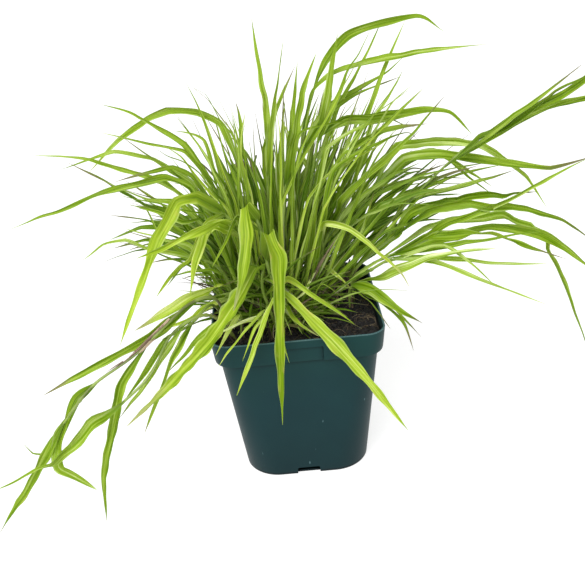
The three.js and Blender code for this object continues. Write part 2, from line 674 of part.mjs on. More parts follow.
// The start of a blade's path: a stretch of its sheath along the stem, up to where it leaves it.
function sheathPath(stations, at) {
  const facets = culmFacetsOf(stations);
  const pick = (share) => {
    const next = Math.max(1, facets.findIndex((facet) => facet.share >= share));
    const low = facets[next - 1];
    const high = facets[next];
    return low.place.clone().lerp(high.place, (share - low.share) / (high.share - low.share));
  };
  const sheath = sheathLength / lengthOf(stations);
  const node = Math.max(at, sheath);
  return [pick(node - sheath), pick(node)];
}

const grown = [];
const random = seededRandom(fillSeed);
const between = ([from, to]) => from + (to - from) * random();

const turnWithin = (most) => toRad(between([-most, most]));

// Starts a stem if it keeps clear of the others. A stem by rule has a group.
function startStem(name, foot, points, group) {
  const stations = culmStationsOf(foot, points);
  const spread = spreadPoints(culmFacetsOf(stations), () => culmFootRadius);
  if (!isFree(spread, name)) return false;
  takeRoom(spread, name);
  grown.push({ name, stations, group, foot, solids: [culmSolid(stations)] });
  return true;
}

// Adds a blade along a path to its stem, with the first bend that keeps it clear of everything else.
function addBlade(grownStem, width, path, facing, roll, twist, tries) {
  const last = path.length - 1;
  return tries.some((bend) => {
    const bent = path.map((point, i) => (
      point.clone().addScaledVector(bend, Math.sqrt(Math.max(i - 1, 0) / (last - 1)))
    ));
    const facets = bladeFacetsOf(stationsOf(bent, bladeStations, facing, roll, twist));
    const spread = spreadPoints(facets, (share) => bladeHalfWidth(width, share));
    if (!spread.every(clearOfPot) || !isFree(spread, grownStem.name)) return false;
    takeRoom(spread, grownStem.name);
    grownStem.solids.push(bladeSolid(facets, width));
    return true;
  });
}

namedStems.forEach(({ name, foot, points }) => startStem(name, foot, points, null));

namedStems.forEach(({ name, blades }) => {
  const grownStem = grown.find((other) => other.name === name);
  blades.forEach(({ at, width, points }) => {
    const path = [...sheathPath(grownStem.stations, at), ...points.map(vectorOf)];
    const roll = turnWithin(namedTurns.roll);
    const twist = turnWithin(namedTurns.twist);
    addBlade(grownStem, width, path, frontFace, roll, twist, bendTries);
  });
});

// A stem by rule stands on the crown and leans outwards.
function fillStem(name, group) {
  for (let attempt = 0; attempt < stemTries; attempt += 1) {
    const azimuth = toRad(group.to + group.spread * between([-1, 1]));
    const reach = between(group.feet);
    const height = between(group.tall);
    const lean = height * between(group.lean);
    const foot = [
      crownCentre.x + crownReach.x * reach * Math.cos(azimuth),
      crownCentre.y + crownReach.y * reach * Math.sin(azimuth),
    ];
    const points = [0.4, 0.7, 1].map((share) => [
      foot[0] + lean * share * share * Math.cos(azimuth),
      foot[1] + lean * share * share * Math.sin(azimuth),
      soilTop + culmNeck + height * share,
    ]);
    const apart = grown.every(({ foot: [x, y] }) => Math.hypot(x - foot[0], y - foot[1]) > stemApart);
    if (apart && startStem(name, foot, points, { ...group, azimuth })) return;
  }
}

// A path whose slope goes evenly from its rise to its end.
function archedPath(start, azimuth, rise, end, length) {
  const point = start.clone();
  return [0.125, 0.375, 0.625, 0.875].map((share) => {
    const slope = toRad(rise + (end - rise) * share);
    point.x += (length / 4) * Math.cos(azimuth) * Math.cos(slope);
    point.y += (length / 4) * Math.sin(azimuth) * Math.cos(slope);
    point.z += (length / 4) * Math.sin(slope);
    return point.clone();
  });
}

function underDome({ x, y, z }) {
  return z + domeLean * y < domeTop - domeFall * (x - domeMiddle) ** 2;
}

// A blade by rule: the direction turns and the blade sinks from try to try until there is room for it.
function fillBlade(grownStem, at, turn) {
  const { group, stations } = grownStem;
  const width = between(group.wide);
  const length = between(group.long);
  const rise = between(group.rise);
  const end = between(group.end);
  const roll = turnWithin(fillTurns.roll);
  const twist = turnWithin(fillTurns.twist);
  for (let attempt = 0; attempt < fillTries; attempt += 1) {
    const azimuth = group.azimuth + turn + toRad(tryTurn * attempt * (attempt % 2 ? 1 : -1));
    const facing = new THREE.Vector3(
      fillFace.outwards * Math.cos(azimuth),
      fillFace.outwards * Math.sin(azimuth) + fillFace.front,
      fillFace.up,
    );
    const shorter = length * (1 - tryShorter * attempt);
    const sheath = sheathPath(stations, at - tryLower * attempt);
    const triedRise = rise - tryFlatter.rise * attempt;
    const triedEnd = end - tryFlatter.end * attempt;
    const path = [...sheath, ...archedPath(sheath[1], azimuth, triedRise, triedEnd, shorter)];
    const fits = Math.sin(azimuth) > mostForward && path.every(underDome);
    if (fits && addBlade(grownStem, width, path, facing, roll, twist, nudges)) return;
  }
}

let fillNumber = 0;
fillGroups.forEach((group) => {
  for (let i = 0; i < group.count; i += 1) {
    fillNumber += 1;
    fillStem(`fill_${String(fillNumber).padStart(2, '0')}`, group);
  }
});

// One blade of each stem in turn, from the top down, so that all stems are leafy.
for (let k = 0; k < fillBlades; k += 1) {
  grown.filter(({ group }) => group).forEach((grownStem) => {
    const turn = toRad((k % 2 ? sideTurn : -sideTurn) * random());
    fillBlade(grownStem, 1 - (leafyShare * (k + leafyShare * random())) / fillBlades, turn);
  });
}

// The largest body of a solid, without the specks that joining leaves.
function cleaned(solid) {
  const bodies = solid.simplify(speckSize).decompose();
  return bodies.reduce((best, body) => (body.volume() > best.volume() ? body : best));
}

function named(name, solid, color, roughness) {
  const mesh = new THREE.Mesh(
    geometryOf(cleaned(solid)),
    new THREE.MeshStandardMaterial({ color, roughness, metalness: 0 }),
  );
  mesh.name = name;
  return mesh;
}

const object = new THREE.Group();
object.add(named('pot', makePot(), 0x2c4a4c, 0.45));
object.add(named('soil', makeSoil(grown.map(({ stations }) => holeSolid(stations))), 0x231c17, 1));
const leafColours = [0x8fbf1f, 0x6a9a1a, 0x7eae24, 0x4f8020];
grown.forEach(({ name, solids }, i) => {
  object.add(named(`culm_${name}`, wasm.Manifold.union(solids), leafColours[i % leafColours.length], 0.5));
});

export default object;
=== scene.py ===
# Japanese forest grass in a square nursery pot: the finish of every surface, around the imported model.
# Sizes are in millimetres until a mesh is made, and the Blender unit is a metre.
import json
import math

import bpy
import numpy as np
from mathutils import Matrix, Vector, noise


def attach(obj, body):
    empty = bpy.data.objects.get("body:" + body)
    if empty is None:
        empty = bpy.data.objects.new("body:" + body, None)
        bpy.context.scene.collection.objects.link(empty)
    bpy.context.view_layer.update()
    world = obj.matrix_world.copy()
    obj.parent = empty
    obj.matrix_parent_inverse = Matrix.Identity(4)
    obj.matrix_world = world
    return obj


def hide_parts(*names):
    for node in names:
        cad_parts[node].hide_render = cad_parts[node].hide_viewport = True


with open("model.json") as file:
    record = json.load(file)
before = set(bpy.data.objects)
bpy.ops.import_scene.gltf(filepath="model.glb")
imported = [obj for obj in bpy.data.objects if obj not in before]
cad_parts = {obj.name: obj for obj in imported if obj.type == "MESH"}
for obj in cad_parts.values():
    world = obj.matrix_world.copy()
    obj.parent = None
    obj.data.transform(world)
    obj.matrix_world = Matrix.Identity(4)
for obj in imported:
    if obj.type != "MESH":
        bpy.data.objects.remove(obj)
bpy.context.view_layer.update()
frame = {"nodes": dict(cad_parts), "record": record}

mm = 0.001
slotOf = {part["node"]: part["material_slot"] for part in frame["record"]["subparts"]}
print("frame loaded:", len(frame["nodes"]), "nodes")


# Repeatable random numbers from 0 to 1.
def seededRandom(seed):
    state = [seed]
    multiplier, modulus = 16807, 2147483647

    def draw():
        state[0] = (state[0] * multiplier) % modulus
        return state[0] / modulus

    return draw


def smoothStep(value, low, high):
    t = np.clip((value - low) / (high - low), 0, 1)
    return t * t * (3 - 2 * t)


def unit(vectors):
    return vectors / np.linalg.norm(vectors, axis=-1, keepdims=True)


# The moulded pot, in the sizes of its solid.
pot = {
    "height": 131, "rimHalf": 65, "rimCorner": 14.4, "bandHeight": 19.4, "bandFootHalf": 63.3,
    "bodyTopHalf": 59.9, "bodyTopCorner": 16, "baseHalf": 49.5, "baseCorner": 27.7, "wall": 1.5,
    "labelWidth": 35, "notchWidth": 18, "notchHeight": 6.5, "notchCorner": 3,
}
bandFoot = pot["height"] - pot["bandHeight"]

# The peat that fills it, with a low mound under the crown of the plant.
soil = {
    "top": 121, "crownRise": 2.5, "crownSpread": 42, "crownCentre": (-6, 22), "crownReach": (47, 31),
    "clods": [(0.7, 0.31, 0.11, 1.3), (0.5, 0.17, -0.23, 0)],  # height, along x, along y, start
}

# Stems and the room between blades.
culm = {"neck": 3, "footRadius": 1.15, "tipRadius": 0.75, "facetLength": 22, "stations": 24, "sheath": 7}
bladeForm = {
    "stations": 36, "facetLength": 38, "extraFacets": 1.4, "facets": (4, 7),
    "sheathedWidth": 0.18, "opens": (0.04, 0.4), "taper": (2.4, 0.9), "sidePull": 0.15,
}
room = {
    "gap": 2.3, "pitch": 1.9, "rootShare": 0.3,
    "floor": 6, "wall": 2.5, "rim": 2, "inside": 5,
}
frontFace = np.array([0, -0.9, 0.44])


def potHalfAt(z):
    low = np.interp(z, [0, bandFoot], [pot["baseHalf"], pot["bodyTopHalf"]])
    high = np.interp(z, [bandFoot, pot["height"]], [pot["bandFootHalf"], pot["rimHalf"]])
    return np.where(z > bandFoot, high, low)


def soilHeight(x, y):
    away = np.hypot(x - soil["crownCentre"][0], y - soil["crownCentre"][1]) / soil["crownSpread"]
    height = soil["top"] + soil["crownRise"] * np.exp(-away * away)
    for rise, alongX, alongY, start in soil["clods"]:
        height = height + rise * np.sin(x * alongX + y * alongY + start)
    return height


# A blade: where it leaves its stem, from 0 at the foot to 1 at the top, its width, and points on its rib.
def blade(at, width, *points):
    return {"at": at, "width": width, "points": points}


# A stem: its name, its foot on the soil, points that it passes through, and its blades.
def stem(name, foot, points, blades):
    return {"name": name, "foot": foot, "points": points, "blades": blades}


# The stems that give the plant its outline.
namedStems = [
    stem("left_arch", (-30, 32), [(-23, 30, 160), (-28, 32, 207), (-32, 36, 245)], [
        blade(0.8, 8, (-43, 42, 267), (-61, 48, 277), (-84, 55, 278), (-127, 62, 256), (-156, 66, 230)),
        blade(0.97, 4, (-28, 38, 265), (-31, 40, 283)),
        blade(0.6, 4, (-32, 28, 249), (-24, 26, 277)),
    ]),
    stem("left_high", (-38, 24), [(-36, 22, 159), (-43, 22, 191), (-52, 24, 225)], [
        blade(0.85, 7, (-61, 28, 236), (-73, 32, 256), (-108, 40, 281), (-132, 44, 289)),
        blade(0.92, 6, (-63, 18, 242), (-72, 16, 256), (-108, 16, 267), (-131, 16, 275)),
        blade(0.62, 6, (-51, 36, 249), (-57, 40, 273), (-67, 46, 300)),
        blade(0.98, 5, (-57, 30, 259), (-63, 32, 263), (-81, 36, 267)),
    ]),
    stem("left_mid", (-43, 13), [(-42, 10, 161), (-51, 8, 188), (-63, 6, 213)], [
        blade(0.8, 6, (-69, 8, 233), (-95, 10, 254), (-122, 12, 261), (-164, 12, 251)),
        blade(0.7, 7, (-67, 0, 240), (-80, -4, 250), (-96, -8, 249), (-124, -12, 245)),
        blade(0.95, 6, (-88, 2, 237), (-109, 2, 246), (-138, 2, 259), (-178, 0, 267)),
    ]),
    stem("left_long", (-46, 2), [(-45, 0, 164), (-54, -5, 191), (-62, -9, 215)], [
        blade(0.9, 9, (-68, -14, 237), (-85, -18, 247), (-115, -24, 245), (-160, -30, 234), (-195, -34, 225)),
        blade(0.75, 6, (-78, -8, 224), (-99, -12, 229), (-117, -14, 239), (-150, -16, 263)),
        blade(0.95, 5, (-77, -20, 213), (-91, -24, 223), (-111, -28, 233)),
    ]),
    stem("left_low", (-49, -8), [(-49, -12, 158), (-57, -20, 177), (-67, -27, 186)], [
        blade(0.85, 4, (-74, -28, 198), (-91, -32, 205), (-115, -38, 219)),
        blade(0.95, 6, (-100, -42, 202), (-115, -48, 213), (-128, -52, 213), (-145, -56, 205)),
        blade(0.6, 4, (-74, -40, 182), (-87, -48, 183)),
    ]),
    stem("left_shelf", (-50, -20), [(-47, -22, 154), (-50, -28, 164)], [
        blade(0.95, 11, (-59, -38, 171), (-71, -50, 170), (-92, -66, 164), (-113, -78, 158)),
        blade(0.6, 7, (-63, -46, 156), (-77, -60, 153), (-104, -74, 153)),
    ]),
    stem("fall_left", (-26, -10), [(-30, -10, 171), (-38, -12, 202), (-50, -16, 220)], [
        blade(0.97, 10, (-64, -28, 234), (-76, -40, 236), (-90, -62, 218), (-104, -78, 190),
              (-122, -92, 155)),
        blade(0.8, 10, (-48, -34, 218), (-61, -46, 217), (-87, -64, 211), (-103, -74, 210)),
        blade(0.93, 9, (-58, -34, 214), (-64, -46, 201), (-74, -58, 171)),
        blade(0.7, 9, (-56, -44, 221), (-71, -56, 207), (-88, -70, 194), (-99, -78, 183)),
    ]),
    stem("fall_front", (-6, -16), [(-17, -16, 165), (-20, -18, 196), (-23, -22, 214)], [
        blade(0.95, 11, (-29, -34, 226), (-29, -48, 210), (-35, -60, 185), (-44, -68, 161)),
        blade(0.55, 12, (-15, -34, 204), (-10, -50, 188), (-11, -64, 165), (-13, -78, 136), (-17, -86, 74)),
        blade(0.85, 5, (-37, -30, 218), (-45, -44, 206), (-56, -56, 191)),
    ]),
    stem("knee_front", (-16, -24), [(-23, -28, 158), (-21, -36, 178)], [
        blade(0.95, 12, (-26, -48, 184), (-40, -62, 167), (-63, -84, 147), (-96, -98, 120),
              (-125, -110, 100)),
        blade(0.8, 11, (-16, -50, 174), (1, -66, 161), (24, -82, 138), (51, -96, 104), (73, -106, 72)),
        blade(0.5, 5, (-3, -44, 161), (13, -58, 149), (30, -72, 138), (40, -77, 127)),
    ]),
    stem("skirt_front", (4, -32), [(-9, -34, 150), (-11, -42, 165)], [
        blade(0.9, 8, (-17, -62, 160), (-25, -75, 146), (-48, -86, 102)),
        blade(0.5, 4, (3, -62, 141), (15, -68, 135)),
        blade(0.6, 3, (-11, -74, 134), (-8, -76, 120)),
    ]),
    stem("skirt_left", (-20, -40), [(-22, -42, 140), (-21, -46, 152)], [
        blade(0.9, 4, (-32, -62, 147), (-43, -74, 140), (-58, -82, 126)),
        blade(0.7, 4, (-30, -66, 144), (-41, -78, 126)),
        blade(0.8, 6, (-35, -54, 148), (-58, -68, 144)),
    ]),
    stem("corner_left", (-42, -36), [(-41, -38, 136), (-41, -42, 147)], [
        blade(0.9, 4, (-47, -64, 142), (-55, -74, 130)),
        blade(0.6, 5, (-50, -50, 145), (-66, -66, 141), (-74, -72, 133)),
    ]),
    stem(
        "trail_tip",
        (-50, -31),
        [
            (-58, -50, 164), (-73, -64, 169), (-89, -78, 162),
            (-114, -92, 146), (-144, -103, 131), (-169, -110, 105),
        ],
        [
            blade(0.8, 7, (-156, -106, 124), (-166, -109, 107), (-174, -112, 91)),
            blade(0.98, 7, (-182, -114, 86), (-197, -117, 65), (-226, -121, 27)),
            blade(0.96, 11, (-173, -114, 91), (-174, -116, 77), (-153, -116, 53)),
            blade(0.97, 4, (-182, -110, 82), (-194, -111, 84), (-199, -111, 93)),
            blade(0.55, 8, (-126, -98, 128), (-136, -102, 98), (-150, -106, 55), (-154, -109, 17)),
            blade(0.32, 9, (-103, -84, 156), (-123, -92, 150), (-147, -98, 141), (-178, -106, 129)),
        ],
    ),
    stem(
        "trail_mid",
        (-46, -42),
        [(-58, -54, 150), (-68, -62, 157), (-88, -74, 151), (-106, -88, 127), (-130, -101, 111)],
        [
            blade(0.95, 10, (-145, -105, 104), (-162, -109, 90), (-188, -113, 77), (-218, -118, 65)),
            blade(0.45, 5, (-100, -82, 134), (-115, -90, 115), (-132, -98, 99)),
            blade(0.2, 5, (-77, -68, 138), (-95, -78, 122)),
        ],
    ),
    stem("trail_near", (-55, -8), [(-63, -41, 154), (-77, -57, 148), (-96, -72, 146)], [
        blade(0.7, 6, (-90, -78, 135), (-101, -88, 114), (-115, -98, 86)),
        blade(0.95, 5, (-103, -84, 138), (-115, -90, 125), (-128, -96, 112)),
    ]),
    stem("top_left", (-24, 40), [(-16, 36, 179), (-12, 36, 221), (-9, 37, 256)], [
        blade(0.9, 6, (-8, 38, 286), (-11, 40, 316), (-13, 42, 342)),
        blade(0.7, 5, (-4, 34, 272), (2, 34, 298), (9, 34, 327)),
        blade(0.62, 5, (-13, 44, 243), (-2, 46, 271), (16, 48, 304)),
    ]),
    stem("top_mid", (-12, 44), [(-4, 40, 172), (1, 40, 210), (5, 41, 240)], [
        blade(0.92, 6, (9, 42, 257), (15, 43, 286), (18, 44, 308)),
        blade(0.75, 8, (10, 34, 251), (19, 34, 287), (32, 34, 315)),
        blade(0.55, 4, (-2, 46, 229), (2, 48, 256), (7, 50, 280)),
    ]),
    stem("top_arch", (0, 46), [(8, 43, 169), (12, 43, 216), (20, 44, 265)], [
        blade(0.97, 9, (39, 46, 306), (57, 48, 324), (83, 50, 330), (110, 50, 332), (129, 50, 320)),
        blade(0.9, 7, (27, 38, 286), (41, 36, 298), (72, 36, 305), (105, 36, 309), (158, 36, 310)),
        blade(0.82, 5, (37, 50, 270), (65, 54, 282), (87, 56, 292), (100, 58, 302)),
        blade(0.76, 5, (38, 40, 269), (60, 42, 280), (95, 44, 291)),
    ]),
    stem("top_right", (12, 44), [(14, 41, 169), (22, 40, 216), (32, 40, 259)], [
        blade(0.97, 6, (38, 42, 278), (43, 43, 300), (48, 44, 321)),
        blade(0.88, 4, (40, 34, 270), (57, 34, 300), (72, 34, 327)),
        blade(0.7, 4, (47, 46, 271), (68, 48, 303), (83, 50, 332)),
        blade(0.93, 9, (53, 34, 265), (84, 30, 265), (114, 28, 266), (129, 26, 264), (145, 24, 247)),
    ]),
    stem("spear_right", (22, 40), [(21, 36, 166), (34, 35, 202), (49, 34, 232)], [
        blade(0.95, 5, (63, 34, 258), (82, 34, 300), (99, 34, 335)),
        blade(0.8, 7, (54, 24, 246), (76, 20, 257), (110, 16, 260)),
        blade(0.6, 4, (50, 42, 237), (63, 44, 260), (72, 46, 277)),
    ]),
    stem("fan_right", (31, 36), [(28, 32, 163), (44, 30, 195), (61, 28, 228)], [
        blade(0.95, 5, (72, 28, 250), (92, 28, 269), (109, 28, 283)),
        blade(0.86, 4, (71, 36, 257), (84, 38, 276), (96, 40, 295)),
        blade(0.75, 4, (69, 20, 255), (83, 18, 276), (98, 16, 288)),
        blade(0.45, 7, (51, 10, 215), (74, 6, 235), (99, 4, 258), (121, 2, 284)),
    ]),
    stem("arch_right", (38, 34), [(35, 30, 152), (53, 26, 186), (72, 22, 216)], [
        blade(0.92, 8, (89, 24, 242), (121, 22, 244), (149, 20, 240), (186, 18, 211), (203, 16, 185)),
        blade(0.97, 8, (92, 14, 236), (118, 10, 238), (166, 6, 228), (200, 4, 221), (232, 2, 228)),
        blade(0.8, 6, (98, 30, 231), (118, 32, 233), (140, 32, 219), (164, 32, 200)),
        blade(0.62, 5, (91, 34, 220), (124, 38, 228), (148, 40, 206), (168, 40, 189)),
    ]),
    stem("tall_right", (44, 30), [(49, 24, 144), (87, 12, 194), (132, 2, 240), (157, -4, 259)], [
        blade(0.97, 9, (183, -8, 271), (203, -10, 280), (238, -12, 305)),
        blade(0.94, 8, (182, 0, 266), (207, 0, 271), (248, 0, 275)),
        blade(0.9, 4, (177, -14, 275), (211, -18, 301)),
        blade(0.08, 6, (55, 12, 168), (61, 7, 190), (67, 5, 214)),
    ]),
    stem("shelf_right", (46, 22), [(48, 18, 141), (66, 12, 162), (85, 8, 177)], [
        blade(0.8, 8, (96, 18, 199), (128, 20, 205), (155, 20, 210), (180, 20, 217)),
        blade(0.92, 10, (95, 4, 196), (120, 2, 204), (154, 0, 206), (190, 0, 205)),
        blade(0.97, 8, (107, -6, 200), (137, -10, 204), (177, -14, 198), (205, -16, 187), (228, -18, 169)),
        blade(0.5, 7, (83, 26, 168), (96, 30, 187), (110, 34, 204)),
    ]),
    stem("low_right", (48, 14), [(47, 10, 140), (65, 4, 156), (83, -2, 166)], [
        blade(0.95, 6, (114, -8, 184), (162, -14, 206), (219, -20, 234)),
        blade(0.8, 11, (105, 4, 173), (156, 4, 180), (194, 2, 170), (215, 0, 156), (243, -2, 130)),
        blade(0.7, 9, (111, 14, 176), (167, 16, 179), (198, 14, 160), (219, 12, 118), (243, 10, 55)),
        blade(0.98, 7, (113, -14, 181), (150, -20, 182), (184, -24, 167), (206, -26, 159)),
        blade(0.85, 5, (100, -18, 174), (133, -26, 178), (187, -32, 186)),
    ]),
    stem("reach_right", (47, 6), [(46, 0, 141), (63, -10, 158), (78, -16, 169)], [
        blade(0.3, 8, (57, -16, 153), (88, -26, 165), (117, -34, 175), (149, -40, 179)),
        blade(0.97, 5, (104, -22, 169), (144, -30, 163), (189, -36, 161)),
        blade(0.9, 4, (107, -28, 168), (140, -38, 153), (185, -48, 134)),
        blade(0.8, 4, (114, -8, 169), (133, -12, 154), (148, -16, 136)),
    ]),
    stem("rim_right", (44, -2), [(44, -4, 138), (47, -8, 145)], [
        blade(0.95, 9, (59, -16, 143), (74, -28, 132), (93, -36, 121)),
        blade(0.8, 4, (69, -22, 133), (81, -30, 120), (87, -36, 98)),
        blade(0.6, 3, (56, -24, 136), (67, -36, 120)),
        blade(0.85, 3, (70, -10, 128), (84, -18, 108), (96, -24, 92)),
    ]),
    stem("lime_right", (26, 22), [(25, 16, 155), (26, 8, 178)], [
        blade(0.97, 6, (29, -2, 196), (46, -14, 194), (63, -26, 182), (80, -38, 165), (85, -42, 155)),
        blade(0.6, 4, (9, -18, 147), (-4, -28, 143)),
        blade(0.5, 4, (35, -2, 150), (44, -10, 143)),
    ]),
]
# Stems by rule that fill the clump: their number, the direction and spread of their lean in degrees, how far
# their feet stand from the crown's centre, their height and lean, and the width, length, rise and end slope
# of their blades. Some have a slot, and a limit to how far to the front their blades go.
groupKeys = (
    "count", "to", "spread", "feet", "tall", "lean", "wide", "long", "rise", "end", "slot", "mostForward",
)


def groupRows(*rows):
    return [dict(zip(groupKeys, row)) for row in rows]


fillGroups = groupRows(
    (9, 80, 110, (0, 0.8), (25, 70), (0, 0.25), (4, 7), (75, 115), (88, 76), (76, 50)),
    (6, 172, 24, (0.3, 1), (30, 75), (0.25, 0.6), (4.5, 8), (90, 150), (74, 55), (25, -20)),
    (6, 12, 24, (0.3, 1), (30, 75), (0.3, 0.7), (4.5, 8), (90, 150), (72, 50), (28, -15)),
    (7, 90, 50, (0.5, 1), (30, 70), (0.2, 0.6), (6, 9), (100, 160), (75, 50), (10, -50)),
)
fill = {
    "seed": 4127, "stemTries": 60, "stemApart": 4, "stemPoints": (0.4, 0.7, 1), "blades": 6,
    "leafyShare": 0.6, "sideTurn": 38, "tries": 16, "turn": 6, "shorter": 0.03, "lower": 0.03,
    "flatter": (1, 2), "arch": (0.125, 0.375, 0.625, 0.875), "mostForward": -0.4, "dome": 0,
    "gap": room["gap"], "face": (0.5, -0.3, 0.85), "nudge": 7, "namedTurns": (35, 45), "fillTurns": (45, 45),
}
dome = {"top": 286, "middle": 20, "fall": 0.0035, "lean": 0.5}

# Finer growth that only shows: slim shoots between the stems, some long and some short.
shootGroups = groupRows(
    (14, 34, 26, (0.1, 1), (20, 65), (0.3, 0.8), (2.8, 5.2), (120, 215), (74, 56), (62, 34), "leaf_green"),
    (10, 68, 26, (0, 1), (20, 60), (0.2, 0.7), (2.8, 5.2), (130, 230), (82, 62), (70, 38), "leaf_green"),
    (15, 96, 50, (0, 0.9), (15, 55), (0, 0.3), (2.8, 5.2), (130, 220), (90, 74), (84, 58), "leaf_green"),
    (12, 142, 34, (0.1, 1), (18, 55), (0.2, 0.7), (3, 5.4), (115, 190), (78, 58), (58, 20), "leaf_green"),
    (4, 172, 28, (0.3, 1), (22, 60), (0.2, 0.6), (3.5, 6.5), (60, 120), (76, 50), (35, -10), "leaf_shade"),
    (8, 14, 26, (0.3, 1), (24, 70), (0.2, 0.8), (3.2, 5.6), (90, 170), (70, 45), (35, -15), "leaf_green"),
    (6, 90, 60, (0.5, 1), (20, 55), (0.2, 0.6), (4, 7), (80, 140), (75, 50), (15, -45), "leaf_shade"),
    (12, -138, 52, (0.5, 1.05), (6, 22), (0.2, 0.7), (2.2, 4), (28, 62), (72, 30), (20, -40),
     "leaf_shade", -2),
    (8, 72, 36, (0, 0.8), (50, 100), (0.1, 0.6), (2.6, 4.6), (120, 190), (88, 66), (72, 30), "leaf_green"),
)
shoots = {
    "seed": 90217, "gap": 0.7, "blades": 6, "tries": 7, "mostForward": -0.1, "dome": 36, "sideTurn": 60,
    "footRadius": 0.8, "tipShare": 0.6, "toneShare": 0.6, "purpleShare": 0.2,
}


# Points of a centripetal Catmull-Rom curve.
def splinePoints(points, shares):
    points = np.asarray(points, float)
    last = len(points) - 1
    padded = np.vstack([2 * points[0] - points[1], points, 2 * points[-1] - points[-2]])
    steps = np.sum(np.diff(padded, axis=0) ** 2, axis=1) ** 0.25
    cell = np.minimum(np.floor(shares * last).astype(int), last - 1)
    t = (shares * last - cell)[:, None]
    p0, p1, p2, p3 = (padded[cell + k] for k in range(4))
    d0, d1, d2 = (steps[cell + k][:, None] for k in range(3))
    start = ((p1 - p0) / d0 - (p2 - p0) / (d0 + d1) + (p2 - p1) / d1) * d1
    end = ((p2 - p1) / d1 - (p3 - p1) / (d1 + d2) + (p3 - p2) / d2) * d1
    square = 3 * (p2 - p1) - 2 * start - end
    cube = 2 * (p1 - p2) + start + end
    return p1 + start * t + square * t * t + cube * t * t * t


curveSteps = 200


# Points at even spaces along the curve, and its length.
def spacedPoints(points, shares):
    steps = np.linspace(0, 1, curveSteps + 1)
    chords = np.linalg.norm(np.diff(splinePoints(points, steps), axis=0), axis=1)
    lengths = np.concatenate([[0], np.cumsum(chords)])
    return splinePoints(points, np.interp(shares * lengths[-1], lengths, steps)), lengths[-1]


# The side of each station: carried on from the one before, pulled to the wanted one, and square to the rib.
def carriedSides(wanted, tangent):
    x, y, z = wanted[0]
    sides = []
    for i, ((wx, wy, wz), (tx, ty, tz)) in enumerate(zip(wanted, tangent)):
        if i:
            pull = bladeForm["sidePull"] if wx * x + wy * y + wz * z >= 0 else -bladeForm["sidePull"]
            x, y, z = x + pull * wx, y + pull * wy, z + pull * wz
        along = x * tx + y * ty + z * tz
        x, y, z = x - along * tx, y - along * ty, z - along * tz
        size = math.sqrt(x * x + y * y + z * z)
        x, y, z = x / size, y / size, z / size
        sides.append((x, y, z))
    return sides


# Spaced stations of a curve, with a tangent and a side that turns towards the face's direction.
def stationsOf(points, count, facing, roll, twist):
    share = np.arange(count + 1) / count
    place, length = spacedPoints(points, share)
    here = np.arange(count + 1)
    tangent = unit(place[np.minimum(here + 1, count)] - place[np.maximum(here - 1, 0)])
    wanted = np.cross(tangent, facing)
    sides = np.array(carriedSides(wanted.tolist(), tangent.tolist()))
    angle = (roll + twist * share)[:, None]
    across = sides * np.cos(angle) + np.cross(tangent, sides) * np.sin(angle)
    return {"place": place, "across": across, "share": share, "length": length, "facing": facing}


def widthShare(share, opens):
    opened = bladeForm["sheathedWidth"] + (1 - bladeForm["sheathedWidth"]) * smoothStep(share, *opens)
    power, root = bladeForm["taper"]
    return opened * (1 - np.minimum(share, 1) ** power) ** root


def chordLength(stations):
    return np.linalg.norm(np.diff(stations["place"], axis=0), axis=1).sum()


# Keeps a number of even steps of the stations.
def thinned(stations, segments):
    last = len(stations["share"]) - 1
    kept = [math.floor(i * last / segments + 0.5) for i in range(segments + 1)]
    return {key: stations[key][kept] for key in ("place", "across", "share")}


def bladeFacetsOf(stations):
    segments = math.floor(chordLength(stations) / bladeForm["facetLength"] + bladeForm["extraFacets"] + 0.5)
    return thinned(stations, min(max(segments, bladeForm["facets"][0]), bladeForm["facets"][1]))


def culmFacetsOf(stations):
    return thinned(stations, max(3, math.floor(chordLength(stations) / culm["facetLength"] + 0.5)))


# Points spread over a ribbon between its facets, and whether each is past the blade's root.
def spreadPoints(facets, halves):
    centres, sides, widths, shares = [], [], [], []
    for i in range(len(halves) - 1):
        steps = math.ceil(np.linalg.norm(facets["place"][i + 1] - facets["place"][i]) / room["pitch"])
        t = (np.arange(steps) / steps)[:, None]
        for rows, values in ((centres, facets["place"]), (sides, facets["across"])):
            rows.append(values[i] * (1 - t) + values[i + 1] * t)
        widths.append(halves[i] + (halves[i + 1] - halves[i]) * t[:, 0])
        shares.append(facets["share"][i] + (facets["share"][i + 1] - facets["share"][i]) * t[:, 0])
    centres, sides, widths, shares = (np.concatenate(rows) for rows in (centres, sides, widths, shares))
    lanes = np.maximum(np.ceil(widths / room["pitch"]).astype(int), 1)
    row = np.repeat(np.arange(len(lanes)), 2 * lanes + 1)
    first = np.concatenate([[0], np.cumsum(2 * lanes + 1)[:-1]])
    lane = np.arange(len(row)) - first[row] - lanes[row]
    points = centres[row] + sides[row] * (widths[row] * lane / lanes[row])[:, None]
    free = shares[row] > room["rootShare"]
    return np.vstack([points, facets["place"][-1:]]), np.append(free, True)


# The room that is taken: each point is listed in its own cell and in the cells round it.
taken = {}
cellSpan = 1024


def cellKey(x, y, z):
    return (x * cellSpan + y) * cellSpan + z


def cellKeys(points):
    cells = np.floor(points / room["gap"]).astype(int) + cellSpan // 2
    return cellKey(*cells.T).tolist()


roundCell = [cellKey(a, b, c) for a in (-1, 0, 1) for b in (-1, 0, 1) for c in (-1, 0, 1)]


def takeRoom(points, free, owner):
    for key, place, isFreePoint in zip(cellKeys(points), points.tolist(), free.tolist()):
        entry = (*place, owner, isFreePoint)
        for step in roundCell:
            taken.setdefault(key + step, []).append(entry)


